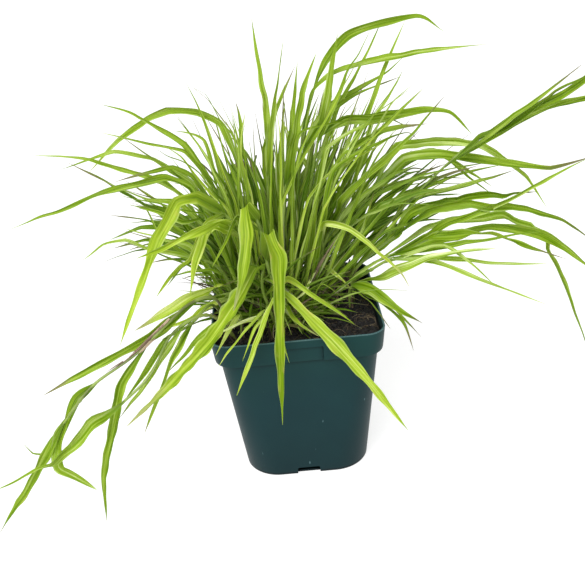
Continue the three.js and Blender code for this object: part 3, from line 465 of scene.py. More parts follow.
def isFree(points, free, owner, gap):
    for key, (x, y, z), freePoint in zip(cellKeys(points), points.tolist(), free.tolist()):
        for ox, oy, oz, other, otherFree in taken.get(key, ()):
            near = (ox - x) ** 2 + (oy - y) ** 2 + (oz - z) ** 2 < gap * gap
            if near and (other != owner or (freePoint and otherFree)):
                return False
    return True


# Whether all points keep clear of the pot, the soil and the floor.
def clearOfPot(points):
    x, y, z = points.T
    away = np.maximum(np.abs(x), np.abs(y))
    outside = (away > pot["rimHalf"] + room["wall"]) | (z > pot["height"] + room["rim"])
    inside = away < pot["rimHalf"] - pot["wall"] - room["inside"]
    overSoil = z > soil["top"] + soil["crownRise"] + room["rim"]
    offWall = away > potHalfAt(z) + room["wall"]
    return bool(np.all((z >= room["floor"]) & (outside | np.where(inside, overSoil, offWall))))


# A named blade without room bends to the front or back first, then aside, up or down: from, to and step.
bendSizes = {"depth": (4, 45, 4), "aside": (5, 21, 5)}
bendTries = [np.zeros(3)]
for size in range(*bendSizes["depth"]):
    bendTries += [-size * frontFace, size * frontFace]
for size in range(*bendSizes["aside"]):
    bendTries += [size * np.array(push) for push in ((1, 0, 0), (-1, 0, 0), (0, 0, 1), (0, 0, -1))]
nudges = [fill["nudge"] * np.array(push) for push in (
    (0, 0, 0), (1, 0, 0), (-1, 0, 0), (0, 1, 0), (0, 0, 1), (0, 0, -1), (0, -1, 0),
)]


# The start of a blade's path: a stretch of its sheath along the stem, up to where it leaves it.
def sheathPath(stations, at):
    facets = culmFacetsOf(stations)
    sheath = culm["sheath"] / chordLength(stations)
    node = max(at, sheath)
    return [
        np.array([np.interp(share, facets["share"], facets["place"][:, axis]) for axis in range(3)])
        for share in (node - sheath, node)
    ]


grown = []


def between(draw, limits):
    return limits[0] + (limits[1] - limits[0]) * draw()


# Starts a stem if it keeps clear of the others. A stem by rule has a group.
def startStem(name, foot, points, group, gap):
    neck = (foot[0], foot[1], soil["top"] + culm["neck"])
    stations = stationsOf([neck, *points], culm["stations"], frontFace, 0, 0)
    facets = culmFacetsOf(stations)
    points, free = spreadPoints(facets, np.full(len(facets["share"]), culm["footRadius"]))
    if not isFree(points, free, name, gap):
        return False
    takeRoom(points, free, name)
    grown.append({"name": name, "stations": stations, "group": group, "foot": foot, "blades": []})
    return True


# Adds a blade along a path to its stem, with the first bend that keeps it clear of everything else.
def addBlade(grownStem, at, width, path, facing, roll, twist, tries, gap):
    last = len(path) - 1
    for bend in tries:
        bent = [point + bend * math.sqrt(max(i - 1, 0) / (last - 1)) for i, point in enumerate(path)]
        stations = stationsOf(bent, bladeForm["stations"], facing, roll, twist)
        facets = bladeFacetsOf(stations)
        halves = width / 2 * widthShare(facets["share"], bladeForm["opens"])
        points, free = spreadPoints(facets, halves)
        if clearOfPot(points) and isFree(points, free, grownStem["name"], gap):
            takeRoom(points, free, grownStem["name"])
            grownStem["blades"].append({"at": at, "width": width, "path": bent, "stations": stations})
            return True
    return False


# A stem by rule stands on the crown and leans outwards.
def ruleStem(name, group, draw, gap):
    for _ in range(fill["stemTries"]):
        azimuth = math.radians(group["to"] + group["spread"] * between(draw, (-1, 1)))
        reach = between(draw, group["feet"])
        height = between(draw, group["tall"])
        lean = height * between(draw, group["lean"])
        out = np.array([math.cos(azimuth), math.sin(azimuth)])
        foot = np.array(soil["crownCentre"]) + np.array(soil["crownReach"]) * reach * out
        points = [
            (*(foot + lean * share * share * out), soil["top"] + culm["neck"] + height * share)
            for share in fill["stemPoints"]
        ]
        least = fill["stemApart"] * gap / room["gap"]
        apart = all(math.hypot(*(foot - other["foot"])) > least for other in grown)
        if apart and startStem(name, foot, points, {**group, "azimuth": azimuth}, gap):
            return


# A path whose slope goes evenly from its rise to its end.
def archedPath(start, azimuth, rise, end, length):
    point, path = np.array(start), []
    for share in fill["arch"]:
        slope = math.radians(rise + (end - rise) * share)
        step = (math.cos(azimuth) * math.cos(slope), math.sin(azimuth) * math.cos(slope), math.sin(slope))
        point = point + length / len(fill["arch"]) * np.array(step)
        path.append(point)
    return path


def underDome(point, higher):
    x, y, z = point
    return z + dome["lean"] * y < dome["top"] + higher - dome["fall"] * (x - dome["middle"]) ** 2


# A blade by rule shows its face outwards, up and a little to the front.
def ruleFacing(azimuth):
    outwards, front, up = fill["face"]
    return np.array([outwards * math.cos(azimuth), outwards * math.sin(azimuth) + front, up])


# A blade by rule: it turns and sinks from try to try until there is room for it.
def ruleBlade(grownStem, at, turn, draw, rule, bends):
    group = grownStem["group"]
    width = between(draw, group["wide"])
    length = between(draw, group["long"])
    rise = between(draw, group["rise"])
    end = between(draw, group["end"])
    roll, twist = (math.radians(between(draw, (-most, most))) for most in fill["fillTurns"])
    for attempt in range(rule["tries"]):
        azimuth = group["azimuth"] + turn + math.radians(fill["turn"] * attempt * (1 if attempt % 2 else -1))
        where = at - fill["lower"] * attempt
        sheath = sheathPath(grownStem["stations"], where)
        flatRise, flatEnd = rise - fill["flatter"][0] * attempt, end - fill["flatter"][1] * attempt
        arch = archedPath(sheath[1], azimuth, flatRise, flatEnd, length * (1 - fill["shorter"] * attempt))
        path = [*sheath, *arch]
        fits = math.sin(azimuth) > group.get("mostForward", rule["mostForward"])
        fits = fits and all(underDome(point, rule["dome"]) for point in path)
        facing = ruleFacing(azimuth)
        if fits and addBlade(grownStem, where, width, path, facing, roll, twist, bends, rule["gap"]):
            return


# One blade of each stem in turn, from the top down.
def ruleBlades(stems, draw, rule, bends):
    count = rule["blades"]
    for k in range(count):
        for grownStem in stems:
            turn = math.radians((rule["sideTurn"] if k % 2 else -rule["sideTurn"]) * draw())
            at = 1 - fill["leafyShare"] * (k + fill["leafyShare"] * draw()) / count
            ruleBlade(grownStem, at, turn, draw, rule, bends)


def growStems(groups, draw, gap, name):
    first = len(grown)
    rows = [group for group in groups for _ in range(group["count"])]
    for number, group in enumerate(rows, 1):
        ruleStem(f"{name}_{number:02d}", group, draw, gap)
    return grown[first:]


def growPlant():
    draw = seededRandom(fill["seed"])
    for row in namedStems:
        startStem(row["name"], row["foot"], row["points"], None, room["gap"])
    for row, grownStem in zip(namedStems, list(grown)):
        for leaf in row["blades"]:
            path = [*sheathPath(grownStem["stations"], leaf["at"]), *np.array(leaf["points"], float)]
            turns = [math.radians(between(draw, (-most, most))) for most in fill["namedTurns"]]
            addBlade(grownStem, leaf["at"], leaf["width"], path, frontFace, *turns, bendTries, room["gap"])
    ruleBlades(growStems(fillGroups, draw, room["gap"], "fill"), draw, fill, nudges)


def growShoots():
    draw = seededRandom(shoots["seed"])
    ruleBlades(growStems(shootGroups, draw, shoots["gap"], "shoot"), draw, shoots, nudges[:3])


growPlant()
plantStems = len(grown)
print("plant grown:", plantStems, "stems,", sum(len(row["blades"]) for row in grown), "blades")
growShoots()
shootStems = grown[plantStems:]
print("shoots grown:", len(shootStems), "stems,", sum(len(row["blades"]) for row in shootStems), "blades")

# Slim blades in front of the others, by slot: width, how far they have dried, foot, points on the rib. A foot
# of two numbers stands on the soil, and one of three grows from a stem.
slimBlades = {
    "leaf_lime": [
        (3.6, 0.3, (-10, -2), (-4, 2, 211), (4, 8, 225), (15, 13, 243), (34, 19, 267), (53, 24, 296),
         (64, 30, 312)),
        (3.4, 0.3, (-16, -6), (-13, -4, 190), (-10, -2, 225), (-7, 3, 250), (-5, 8, 270)),
        (3.6, 0.3, (-12, -4), (17, 0, 216), (32, 5, 231), (47, 10, 237), (62, 14, 242), (79, 19, 249),
         (95, 24, 262)),
        (2.2, 0.3, (2, -8), (28, -5, 208), (48, 1, 234), (63, 8, 250), (79, 12, 263), (92, 17, 273),
         (107, 22, 284)),
        (3.4, 0.3, (-8, -8), (-4, -6, 222), (-1, 0, 247), (0, 6, 268), (-1, 12, 283)),
        (3, 0.3, (-20, 12), (-26, 10, 220), (-30, 14, 248), (-28, 18, 265), (-24, 22, 279)),
        (4.4, 0.3, (-34, 0), (-43, -2, 212), (-55, 2, 226), (-65, 5, 240), (-74, 8, 254), (-86, 10, 263)),
        (4.4, 0.3, (-34, 10), (-39, 8, 215), (-45, 12, 237), (-50, 16, 257), (-54, 20, 270),
         (-58, 24, 281)),
    ],
    "leaf_green": [
        (3.2, 0.3, (-24, -6), (-35, -4, 217), (-33, 0, 239), (-31, 4, 261), (-33, 8, 275)),
        (4, 0.3, (-14, -10), (-18, -8, 217), (-21, -3, 236), (-22, 1, 249), (-23, 6, 264)),
        (3, 0.3, (-8, -8), (18, -6, 203), (26, 1, 223), (36, 7, 252), (42, 14, 260)),
        (4, 0.3, (-20, 4), (-41, 0, 208), (-45, 4, 224), (-51, 7, 239), (-55, 11, 250), (-61, 15, 260),
         (-69, 18, 272), (-76, 22, 282)),
        (3.4, 0.3, (-26, -4), (-47, -8, 219), (-55, -6, 234), (-61, -3, 244), (-72, -1, 253), (-83, 2, 257),
         (-93, 4, 265)),
        (3.6, 0.3, (-32, -10), (-60, -18, 218), (-68, -18, 220), (-80, -19, 224), (-91, -19, 229),
         (-102, -19, 232), (-111, -20, 235), (-121, -20, 239)),
        (2.2, 0.3, (-24, 10), (-30, 10, 239), (-35, 15, 265), (-42, 20, 273), (-47, 24, 284),
         (-52, 29, 293), (-60, 34, 297)),
        (2.8, 0.3, (-4, 2), (28, 6, 221), (48, 13, 246), (69, 20, 268), (80, 26, 278), (90, 33, 287),
         (96, 40, 295)),
        (3.2, 0.3, (0, 0), (38, 4, 227), (57, 12, 254), (71, 19, 269), (89, 26, 278), (101, 34, 283)),
        (3.6, 0.3, (-2, -6), (5, -2, 224), (13, 4, 248), (24, 10, 268), (30, 16, 282)),
        (2.6, 0.3, (-24, -10), (-27, -6, 224), (-27, -3, 246), (-27, 1, 268), (-22, 4, 281)),
        (2.8, 0.3, (-26, 0), (-33, 4, 205), (-33, 8, 232), (-33, 12, 262), (-34, 16, 281)),
        (2.2, 0.6, (2, -16), (5, -20, 138), (9, -22, 149), (22, -22, 155), (34, -22, 159), (42, -22, 149)),
        (2, 0.8, (12, -18), (14, -22, 138), (18, -27, 154), (22, -30, 159), (29, -30, 153), (37, -30, 144)),
        (2.4, 0.5, (-8, -24), (-6, -30, 145), (-2, -37, 160), (8, -38, 158), (18, -38, 151)),
        (2, 1, (8, -16), (12, -20, 134), (21, -25, 142), (29, -25, 136), (38, -26, 128)),
        (4.6, 2, (-20, -34), (-16, -42, 136), (-7, -50, 140), (3, -51, 136), (18, -50, 125)),
        (2.2, 0.9, (-26, 24), (-35, 24, 264), (-41, 27, 273), (-51, 30, 289), (-61, 33, 298)),
        (4, 0.3, (-30, 16), (-42, 12, 221), (-54, 18, 242), (-63, 22, 260), (-74, 25, 279)),
        (5.6, 0.4, (-40, 4), (-80, 0, 207), (-92, 2, 216), (-111, 4, 226), (-122, 5, 233), (-136, 6, 244),
         (-154, 8, 255)),
        (4.6, 0.5, (-42, -4), (-78, -8, 181), (-92, -8, 195), (-98, -6, 204), (-104, -5, 221),
         (-115, -4, 224)),
        (4.2, 0.6, (-44, -8), (-69, -10, 183), (-87, -12, 196), (-102, -13, 200), (-120, -14, 208)),
        (4, 0.7, (-44, -14), (-61, -18, 171), (-73, -20, 178), (-90, -22, 188), (-106, -24, 198),
         (-125, -26, 205)),
        (3.2, 0.3, (-26, 18), (-35, 14, 225), (-43, 20, 252), (-46, 24, 270), (-49, 27, 283)),
        (2.6, 0.8, (-12, 26), (-11, 22, 220), (-13, 24, 234), (-14, 27, 252), (-20, 30, 259)),
        (4.2, 0.5, (-38, -2), (-56, -4, 214), (-72, 0, 235), (-84, 4, 247), (-100, 7, 259),
         (-116, 10, 273)),
        (5, 0.4, (6, 8), (33, 14, 248), (50, 18, 257), (68, 24, 262), (84, 28, 263), (95, 32, 256),
         (104, 34, 253)),
        (3.6, 0.4, (0, 10), (14, 22, 259), (32, 26, 263), (54, 30, 264), (74, 34, 261)),
        (4, 0.5, (8, 4), (44, 10, 242), (58, 14, 248), (74, 18, 256), (89, 22, 259), (112, 26, 256)),
        (5.4, 0.4, (10, 2), (37, 4, 233), (53, 8, 243), (71, 12, 249), (84, 16, 253), (96, 18, 254),
         (104, 20, 247)),
        (3.6, 0.4, (14, 0), (64, 2, 234), (76, 6, 241), (89, 10, 248), (100, 14, 255), (110, 20, 263)),
        (4, 0.4, (6, 8), (77, 6, 201), (90, 10, 211), (101, 14, 219), (112, 18, 224), (122, 22, 229)),
        (1.8, 0.8, (4, 4), (57, 4, 212), (64, 6, 216), (75, 8, 217), (91, 10, 222), (103, 12, 224)),
        (2.2, 0.8, (10, 6), (100, 6, 204), (111, 8, 211), (126, 12, 217), (141, 16, 221)),
        (4, 0.4, (6, 2), (73, 0, 182), (89, 2, 186), (105, 4, 189), (119, 8, 193), (131, 12, 196)),
        (2.4, 0.8, (8, -2), (80, -8, 172), (91, -6, 178), (101, -4, 184), (112, 0, 189)),
        (7.6, 0.3, (121, 3, 229), (136, -2, 243), (154, -6, 254), (172, -9, 265), (188, -12, 276),
         (204, -13, 285), (223, -13, 296)),
        (6.4, 0.3, (126, 0, 234), (144, -3, 246), (163, -4, 257), (181, -5, 266), (200, -4, 272),
         (227, -2, 276)),
        (4.4, 0.8, (130, -3, 239), (147, -9, 253), (164, -13, 266), (180, -16, 278), (195, -18, 290),
         (210, -20, 302)),
        (4, 0.4, (-38, 8), (-51, 4, 204), (-62, 8, 222), (-71, 10, 236), (-78, 12, 246), (-82, 14, 252)),
        (5, 0.3, (-42, 0), (-54, -4, 208), (-69, -3, 221), (-80, -2, 231), (-90, -1, 237), (-102, 0, 242)),
        (4.4, 0.5, (-44, -6), (-61, -10, 188), (-73, -10, 196), (-84, -10, 206), (-93, -9, 216),
         (-104, -8, 223), (-113, -8, 227)),
        (3.6, 0.5, (-44, 6), (-45, 4, 201), (-45, 8, 216), (-45, 10, 224), (-42, 12, 233)),
    ],
}


# The linear colour of an sRGB hex value.
def linear(hexColour):
    parts = [int(hexColour[i:i + 2], 16) / 255 for i in (1, 3, 5)]
    return [c / 12.92 if c <= 0.04045 else ((c + 0.055) / 1.055) ** 2.4 for c in parts] + [1]


# Adds a node. Its inputs go to its sockets in their order, or by name or number, and each is a number, a
# colour, or a node to link from. A word with a capital is a socket too, and one without is a setting.
def addNode(tree, kind, inputs=(), stops=None, **words):
    node = tree.nodes.new("ShaderNode" + kind)
    values = dict(inputs if isinstance(inputs, dict) else enumerate(inputs))
    for key, value in words.items():
        if key[0].isupper():
            values[key] = value
        else:
            setattr(node, key, value)
    for key, value in values.items():
        socket = node.inputs[key]
        if isinstance(value, bpy.types.Node):
            value = value.outputs[0]
        if isinstance(value, bpy.types.NodeSocket):
            tree.links.new(value, socket)
        elif isinstance(value, str):
            socket.default_value = linear(value)
        else:
            socket.default_value = value
    if stops:
        ramp = node.color_ramp.elements
        for i in (0, -1):
            ramp[i].position, ramp[i].color = stops[i][0], linear(stops[i][1])
        for position, hexColour in stops[1:-1]:
            ramp.new(position).color = linear(hexColour)
    return node


def newMaterial(name):
    material = bpy.data.materials.new(name)
    material.use_nodes = True
    material.node_tree.nodes.clear()
    return material, material.node_tree


# Where a point is on its blade: across, along, and the share of its length. The look is three numbers from
# 0 to 1 that differ from one blade to the next.
def bladeInputs(tree):
    place, look = (
        addNode(tree, "Attribute", attribute_name=name).outputs["Vector"] for name in ("blade", "bladeLook")
    )
    return place, addNode(tree, "SeparateXYZ", Vector=look).outputs


# Noise drawn out along a blade: its spacing and length in millimetres, and how fast it changes to the tip.
def streaksAlong(tree, place, size, change=0, start=None, **noise):
    spacing, length = size
    where = addNode(tree, "VectorMath", (place, (1 / spacing, 1 / length, change)), operation="MULTIPLY")
    if start is not None:
        where = addNode(tree, "VectorMath", (where, start), operation="ADD")
    return addNode(tree, "TexNoise", Vector=where, Scale=1, **noise)


# Noise of one size in millimetres at a point of an object.
def speckle(tree, place, size, **noise):
    return addNode(tree, "TexNoise", Vector=place, Scale=1 / (size * mm), **noise)


# A surface with relief from a pattern, and the relief itself. Its roughness is one number, or goes from one
# to another with a pattern.
def reliefSurface(tree, look, colour, pattern, glossPattern=None):
    roughness = look["roughness"]
    if glossPattern is not None:
        roughness = addNode(tree, "MapRange", {0: glossPattern, 3: roughness[0], 4: roughness[1]})
    relief = addNode(tree, "Bump", Height=pattern, Strength=look["bump"], Distance=look["depth"] * mm)
    sockets = {"Base Color": colour, "Specular IOR Level": look["specular"]}
    surface = addNode(tree, "BsdfPrincipled", sockets, Roughness=roughness, IOR=look["ior"], Normal=relief)
    return surface, relief


# Fresh grass blade: thin and faintly waxed, streaked along its veins, with pale margins, and brighter where
# light comes through it. Veins stand about 0.4 mm apart on a real blade and are drawn at 1.2 mm, so that they
# show.
leafLook = {
    "streaks": ((1.2, 70), (3.4, 40), (4.5, 11)),  # spacing and length of veins, bands and spots
    "veinShare": 1.3, "bandShare": 0.75, "toneShare": 0.5, "lift": -0.77, "apart": 61,
    "ribEdge": (0.1, 0.45), "ribFade": (0.5, 0.85), "ribShare": 0.12,
    "marginEdge": (0.7, 0.98), "marginShare": 0.45, "rootShadeEdge": (0.03, 0.28), "rootShare": 0.6,
    "spotEdge": (0.56, 0.7), "spotShare": 0.3, "spot": "#9c9350",
    "ragged": 0.35, "dryBlades": 0.3, "dryEdge": (1.15, 1.35), "dryShare": 0.75, "dry": "#84745c",
    "roughness": (0.38, 0.55), "specular": 0.25, "ior": 1.42, "bump": 0.6, "depth": 0.15,
    "through": 0.45, "throughSaturation": 1, "throughValue": 1.45,
}


def leafMaterial(name, changes):
    look = {**leafLook, **changes}
    material, tree = newMaterial(name)
    place, (tone, dry, turn) = bladeInputs(tree)
    side, _, share = addNode(tree, "SeparateXYZ", Vector=place).outputs
    edge = addNode(tree, "Attribute", attribute_name="bladeEdge").outputs["Fac"]
    start = addNode(tree, "CombineXYZ", Z=addNode(tree, "Math", (turn, look["apart"]), operation="MULTIPLY"))
    veins, bands, spots = (
        streaksAlong(tree, place, size, start=start, Detail=2, Roughness=0.6) for size in look["streaks"]
    )
    # veins, bands and the blade's own tone add up to a place on the ramp
    onRamp = look["lift"]
    for pattern, patternShare in ((veins, "veinShare"), (bands, "bandShare"), (tone, "toneShare")):
        onRamp = addNode(tree, "Math", (pattern, look[patternShare], onRamp), operation="MULTIPLY_ADD")
    body = addNode(tree, "ValToRGB", stops=look["colours"], Fac=onRamp)
    # the midrib is a pale line that fades before the tip
    away = addNode(tree, "Math", (side,), operation="ABSOLUTE")
    rib = addNode(tree, "MapRange", (away, *look["ribEdge"], look["ribShare"], 0),
                  interpolation_type="SMOOTHSTEP")
    ribFade = addNode(tree, "MapRange", (share, *look["ribFade"], 1, 0))
    ribHere = addNode(tree, "Math", (rib, ribFade), operation="MULTIPLY")
    # the margins are pale and thin, partly the blade's own pale edge and partly a painted highlight along it,
    # each side of a blade by its own measure
    margin = addNode(tree, "MapRange", (edge, *look["marginEdge"], 0, look["marginShare"]),
                     interpolation_type="SMOOTHSTEP")
    oneSide = addNode(tree, "Math", (side, 0), operation="GREATER_THAN")
    sideShare = addNode(tree, "Math", (oneSide, turn), operation="SUBTRACT")
    sideShare = addNode(tree, "Math", (sideShare,), operation="ABSOLUTE")
    marginPaleAndHighlight = addNode(tree, "Math", (margin, sideShare), operation="MULTIPLY")
    paleHere = addNode(tree, "Math", (ribHere, marginPaleAndHighlight), operation="MAXIMUM")
    ribbed = addNode(tree, "MixRGB", Fac=paleHere, Color1=body, Color2=look["rib"])
    # a few patches towards the margins have begun to yellow
    spotHere = addNode(tree, "MapRange", (spots, *look["spotEdge"], 0, look["spotShare"]),
                       interpolation_type="SMOOTHSTEP")
    spotHere = addNode(tree, "Math", (spotHere, edge), operation="MULTIPLY")
    spotted = addNode(tree, "MixRGB", Fac=spotHere, Color1=ribbed, Color2=look["spot"])
    # the root is painted a deeper green, as painted shade where the blades sit deep among the stems
    rootShadeHere = addNode(tree, "MapRange", (share, *look["rootShadeEdge"], look["rootShare"], 0),
                       interpolation_type="SMOOTHSTEP")
    rootShaded = addNode(tree, "MixRGB", Fac=rootShadeHere, Color1=spotted, Color2=look["root"])
    # tips dry out first, some blades further down than others
    ragged = addNode(tree, "Math", (bands, look["ragged"], share), operation="MULTIPLY_ADD")
    dryness = addNode(tree, "Math", (dry, look["dryBlades"], ragged), operation="MULTIPLY_ADD")
    dryHere = addNode(tree, "MapRange", (dryness, *look["dryEdge"], 0, look["dryShare"]),
                      interpolation_type="SMOOTHSTEP")
    colour = addNode(tree, "MixRGB", Fac=dryHere, Color1=rootShaded, Color2=look["dry"])
    top, relief = reliefSurface(tree, look, colour, veins, veins)
    litFromBehind = addNode(tree, "HueSaturation", Color=colour, Saturation=look["throughSaturation"],
                            Value=look["throughValue"])
    through = addNode(tree, "BsdfTranslucent", Color=litFromBehind, Normal=relief)
    both = addNode(tree, "MixShader", (look["through"], top, through))
    addNode(tree, "OutputMaterial", Surface=both)
    return material


# Three copies of one blade: the lime copy is partly the young blade's own colour and partly painted light for
# blades that stand in full light, the deep copy is painted darker as painted shade for blades low and inside
# the clump, and the green copy lies between. The palest end of each ramp is partly painted highlight.
leafMaterials = {
    "leaf_lime": leafMaterial("limeAndLitGrassBlade", {
        "colours": [(0, "#5e7f06"), (0.3, "#8aa818"), (0.6, "#b6ca40"), (0.85, "#dce496"), (1, "#f2f5d8")],
        "rib": "#e4ecb0", "root": "#7d9a3c", "dry": "#b5b487", "spot": "#cdbf6a", "spotShare": 0.45,
        "veinShare": 1.1, "bandShare": 0.85, "lift": -0.68, "throughSaturation": 0.95,
    }),
    "leaf_green": leafMaterial("greenGrassBlade", {
        "colours": [(0, "#4f7004"), (0.3, "#78990c"), (0.6, "#a0b938"), (0.85, "#c8d58a"), (1, "#e7ecc8")],
        "rib": "#d0dd9c", "root": "#5f8a20",
    }),
    "leaf_shade": leafMaterial("shadedGrassBlade", {
        "colours": [(0, "#3c5808"), (0.3, "#608610"), (0.6, "#88a534"), (0.85, "#b0c26c"), (1, "#d4dcaa")],
        "rib": "#b4cb72", "root": "#527f1e",
    }),
}


# Grass culm: a smooth hollow straw, green above and straw-coloured or purple-brown below, and paler where it
# is sheathed.
culmLook = {
    "streaks": (0.6, 25), "roughness": 0.42, "specular": 0.5, "ior": 1.45, "bump": 0.3, "depth": 0.1,
    "colours": [(0.25, "#4d6a1a"), (0.5, "#6c8a2a"), (0.75, "#8fa546")], "mottled": (0.8, -0.4),
    "straw": "#78803f", "purple": "#54433c", "sheath": "#8fa64c",
}


def culmMaterial():
    material, tree = newMaterial("smoothStrawCulm")
    place, (tone, purple, sheath) = bladeInputs(tree)
    streaks = streaksAlong(tree, place, culmLook["streaks"], 3, Detail=2)
    green = addNode(tree, "ValToRGB", stops=culmLook["colours"], Fac=streaks)
    straw = addNode(tree, "MixRGB", Fac=tone, Color1=green, Color2=culmLook["straw"])
    mottled = addNode(tree, "Math", (streaks, *culmLook["mottled"]), operation="MULTIPLY_ADD", use_clamp=True)
    darker = addNode(tree, "Math", (purple, mottled), operation="ADD", use_clamp=True)
    purpleHere = addNode(tree, "Math", (darker, purple), operation="MULTIPLY")
    stained = addNode(tree, "MixRGB", Fac=purpleHere, Color1=straw, Color2=culmLook["purple"])
    colour = addNode(tree, "MixRGB", Fac=sheath, Color1=stained, Color2=culmLook["sheath"])
    surface, _ = reliefSurface(tree, culmLook, colour, streaks)
    addNode(tree, "OutputMaterial", Surface=surface)
    return material


# Dead sheaths and litter: papery and fibrous, tan where fresh and dark brown where old, with no shine.
deadLook = {
    "fibres": (0.5, 14), "roughness": 0.8, "specular": 0.5, "ior": 1.4, "bump": 0.5, "depth": 0.2,
    "colours": [(0.2, "#241d18"), (0.45, "#5e5140"), (0.7, "#96886a"), (0.95, "#c9bd9c")], "stain": "#7c5358",
    "fibreShare": 0.55, "toneShare": 0.65,
}


def deadMaterial():
    material, tree = newMaterial("dryPaperySheath")
    place, (tone, stain, _) = bladeInputs(tree)
    fibres = streaksAlong(tree, place, deadLook["fibres"], 5, Detail=3, Roughness=0.7)
    onRamp = addNode(tree, "Math", (fibres, deadLook["fibreShare"]), operation="MULTIPLY")
    onRamp = addNode(tree, "Math", (tone, deadLook["toneShare"], onRamp), operation="MULTIPLY_ADD")
    dried = addNode(tree, "ValToRGB", stops=deadLook["colours"], Fac=onRamp)
    colour = addNode(tree, "MixRGB", Fac=stain, Color1=dried, Color2=deadLook["stain"])
    surface, _ = reliefSurface(tree, deadLook, colour, fibres)
    addNode(tree, "OutputMaterial", Surface=surface)
    return material


culmFinish = culmMaterial()
deadFinish = deadMaterial()
print("grass materials made")


# Parts of a piece are gathered here: points, four-sided faces, and where each point is on its blade.
def newParts():
    rows = {key: [] for key in ("points", "faces", "finish", "blade", "bladeLook", "bladeEdge")}
    return {**rows, "count": 0}


def addPart(parts, points, faces, finish, blade=(0, 0, 0), look=(0, 0, 0), edge=0):
    parts["points"].append(points)
    parts["faces"].append(faces + parts["count"])
    parts["finish"].append(np.full(len(faces), finish))
    parts["blade"].append(np.broadcast_to(blade, (len(points), 3)))
    parts["bladeLook"].append(np.broadcast_to(look, (len(points), 3)))
    parts["bladeEdge"].append(np.broadcast_to(edge, len(points)))
    parts["count"] += len(points)


# Closes a stack of rings, each of an even number of points, with four-sided faces.
def closedLoft(rings):
    rows, around = rings.shape[:2]
    here = (np.arange(rows - 1) * around)[:, None] + np.arange(around)
    beside = (np.arange(rows - 1) * around)[:, None] + (np.arange(around) + 1) % around
    walls = np.stack([here, beside, beside + around, here + around], axis=-1).reshape(-1, 4)
    k = np.arange(around // 2 - 1)
    cap = np.stack([k, k + 1, around - 2 - k, around - 1 - k], axis=-1)
    return rings.reshape(-1, 3), np.vstack([walls, cap[:, ::-1], cap + (rows - 1) * around])


def newMesh(name, parts):
    points, faces = np.concatenate(parts["points"]) * mm, np.concatenate(parts["faces"])
    mesh = bpy.data.meshes.new(name)
    mesh.from_pydata(points.tolist(), [], faces.tolist())
    return mesh


def newObject(name, data):
    made = bpy.data.objects.new(name, data)
    bpy.context.scene.collection.objects.link(made)
    return made


def makePiece(name, parts, materials, slot, replaced=(), sharp=40):
    mesh = newMesh(name, parts)
    for material in materials:
        mesh.materials.append(material)
    mesh.polygons.foreach_set("material_index", np.concatenate(parts["finish"]).astype(np.int32))
    mesh.polygons.foreach_set("use_smooth", np.ones(len(mesh.polygons), bool))
    for key in ("blade", "bladeLook"):
        values = np.concatenate(parts[key]).astype(np.float32)
        mesh.attributes.new(key, "FLOAT_VECTOR", "POINT").data.foreach_set("vector", values.ravel())
    edges = np.concatenate(parts["bladeEdge"]).astype(np.float32)
    mesh.attributes.new("bladeEdge", "FLOAT", "POINT").data.foreach_set("value", edges)
    mesh.set_sharp_from_angle(angle=math.radians(sharp))
    mesh.update()
    piece = newObject(name, mesh)
    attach(piece, "root")
    if replaced:
        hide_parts(*replaced)
    return piece


# A fine blade: a thin ribbon, folded along its rib, with waved margins, a crease here and there, a long tip.
fineBlade = {
    "rowPitch": 3, "rows": (9, 56), "columns": (3, 5, 7), "wideFrom": (2.6, 5.5), "opens": (0.03, 0.3),
    "ribThickness": 0.42, "edgeThickness": 0.16, "leastThickness": 0.08, "tipHalf": 0.1, "tipThinFrom": 0.8,
    "fold": (0.1, 0.85), "rootFold": 1.2, "rootEnd": 0.12, "cupPower": 1.15,
    "waveLength": (18, 42), "waveHeight": (0.04, 0.2), "broadWave": 1.6, "ripple": 0.05,
    "spin": (0.15, 0.8), "spinLength": (55, 150), "uneven": 0.14, "kink": (0.25, 0.85),
    "creases": 0.6, "mostCreases": 3, "creaseAt": (0.25, 0.9), "creaseHeight": (0.25, 1.1),
    "creaseReach": (8, 18),
    "freeFrom": (0.05, 0.3), "calmTip": 0.6,  # where spin, waves and sway begin, and how calm the tip is
    "unevenCycles": (0.37, 0.9), "swayCycles": (0.43, 0.81), "secondSway": 0.6,
    "namedWidth": 1.08, "ruleWidth": 0.93,
}


# How one blade differs from the next: the fold of each half, its waves and bends, how it spins, its creases.
def bladeForms(draw, broad=1):
    form = {key: between(draw, fineBlade[key]) for key in ("waveLength", "spin", "spinLength")}
    form["fold"] = np.array([between(draw, fineBlade["fold"]) for _ in range(2)])
    form["wave"] = broad * between(draw, fineBlade["waveHeight"])
    form["kink"] = between(draw, fineBlade["kink"])
    form["creases"] = [
        [between(draw, fineBlade[key]) for key in ("creaseAt", "creaseHeight", "creaseReach")]
        for _ in range(fineBlade["mostCreases"]) if draw() < fineBlade["creases"]
    ]
    form["starts"] = [2 * math.pi * draw() for _ in range(7)]
    return form


# A dry strip is as wide at its foot as further up, and lies flat.
def stripForm(draw, rootFold=0.8):
    return {**bladeForms(draw), "opens": (-1, -0.5), "rootFold": rootFold, "spin": 0, "creases": []}


def runAlong(points):
    return np.concatenate([[0], np.cumsum(np.linalg.norm(np.diff(points, axis=0), axis=1))])


# Points along a blade: partly its smooth curve and partly the straight runs between its points, so that it
# bends sharply at some of them.
def kinkedPoints(path, share, kink):
    smooth, _ = spacedPoints(path, share)
    path = np.asarray(path, float)
    run = runAlong(path)
    straight = np.stack([np.interp(share * run[-1], run, row) for row in path.T], axis=1)
    return smooth + (straight - smooth) * kink


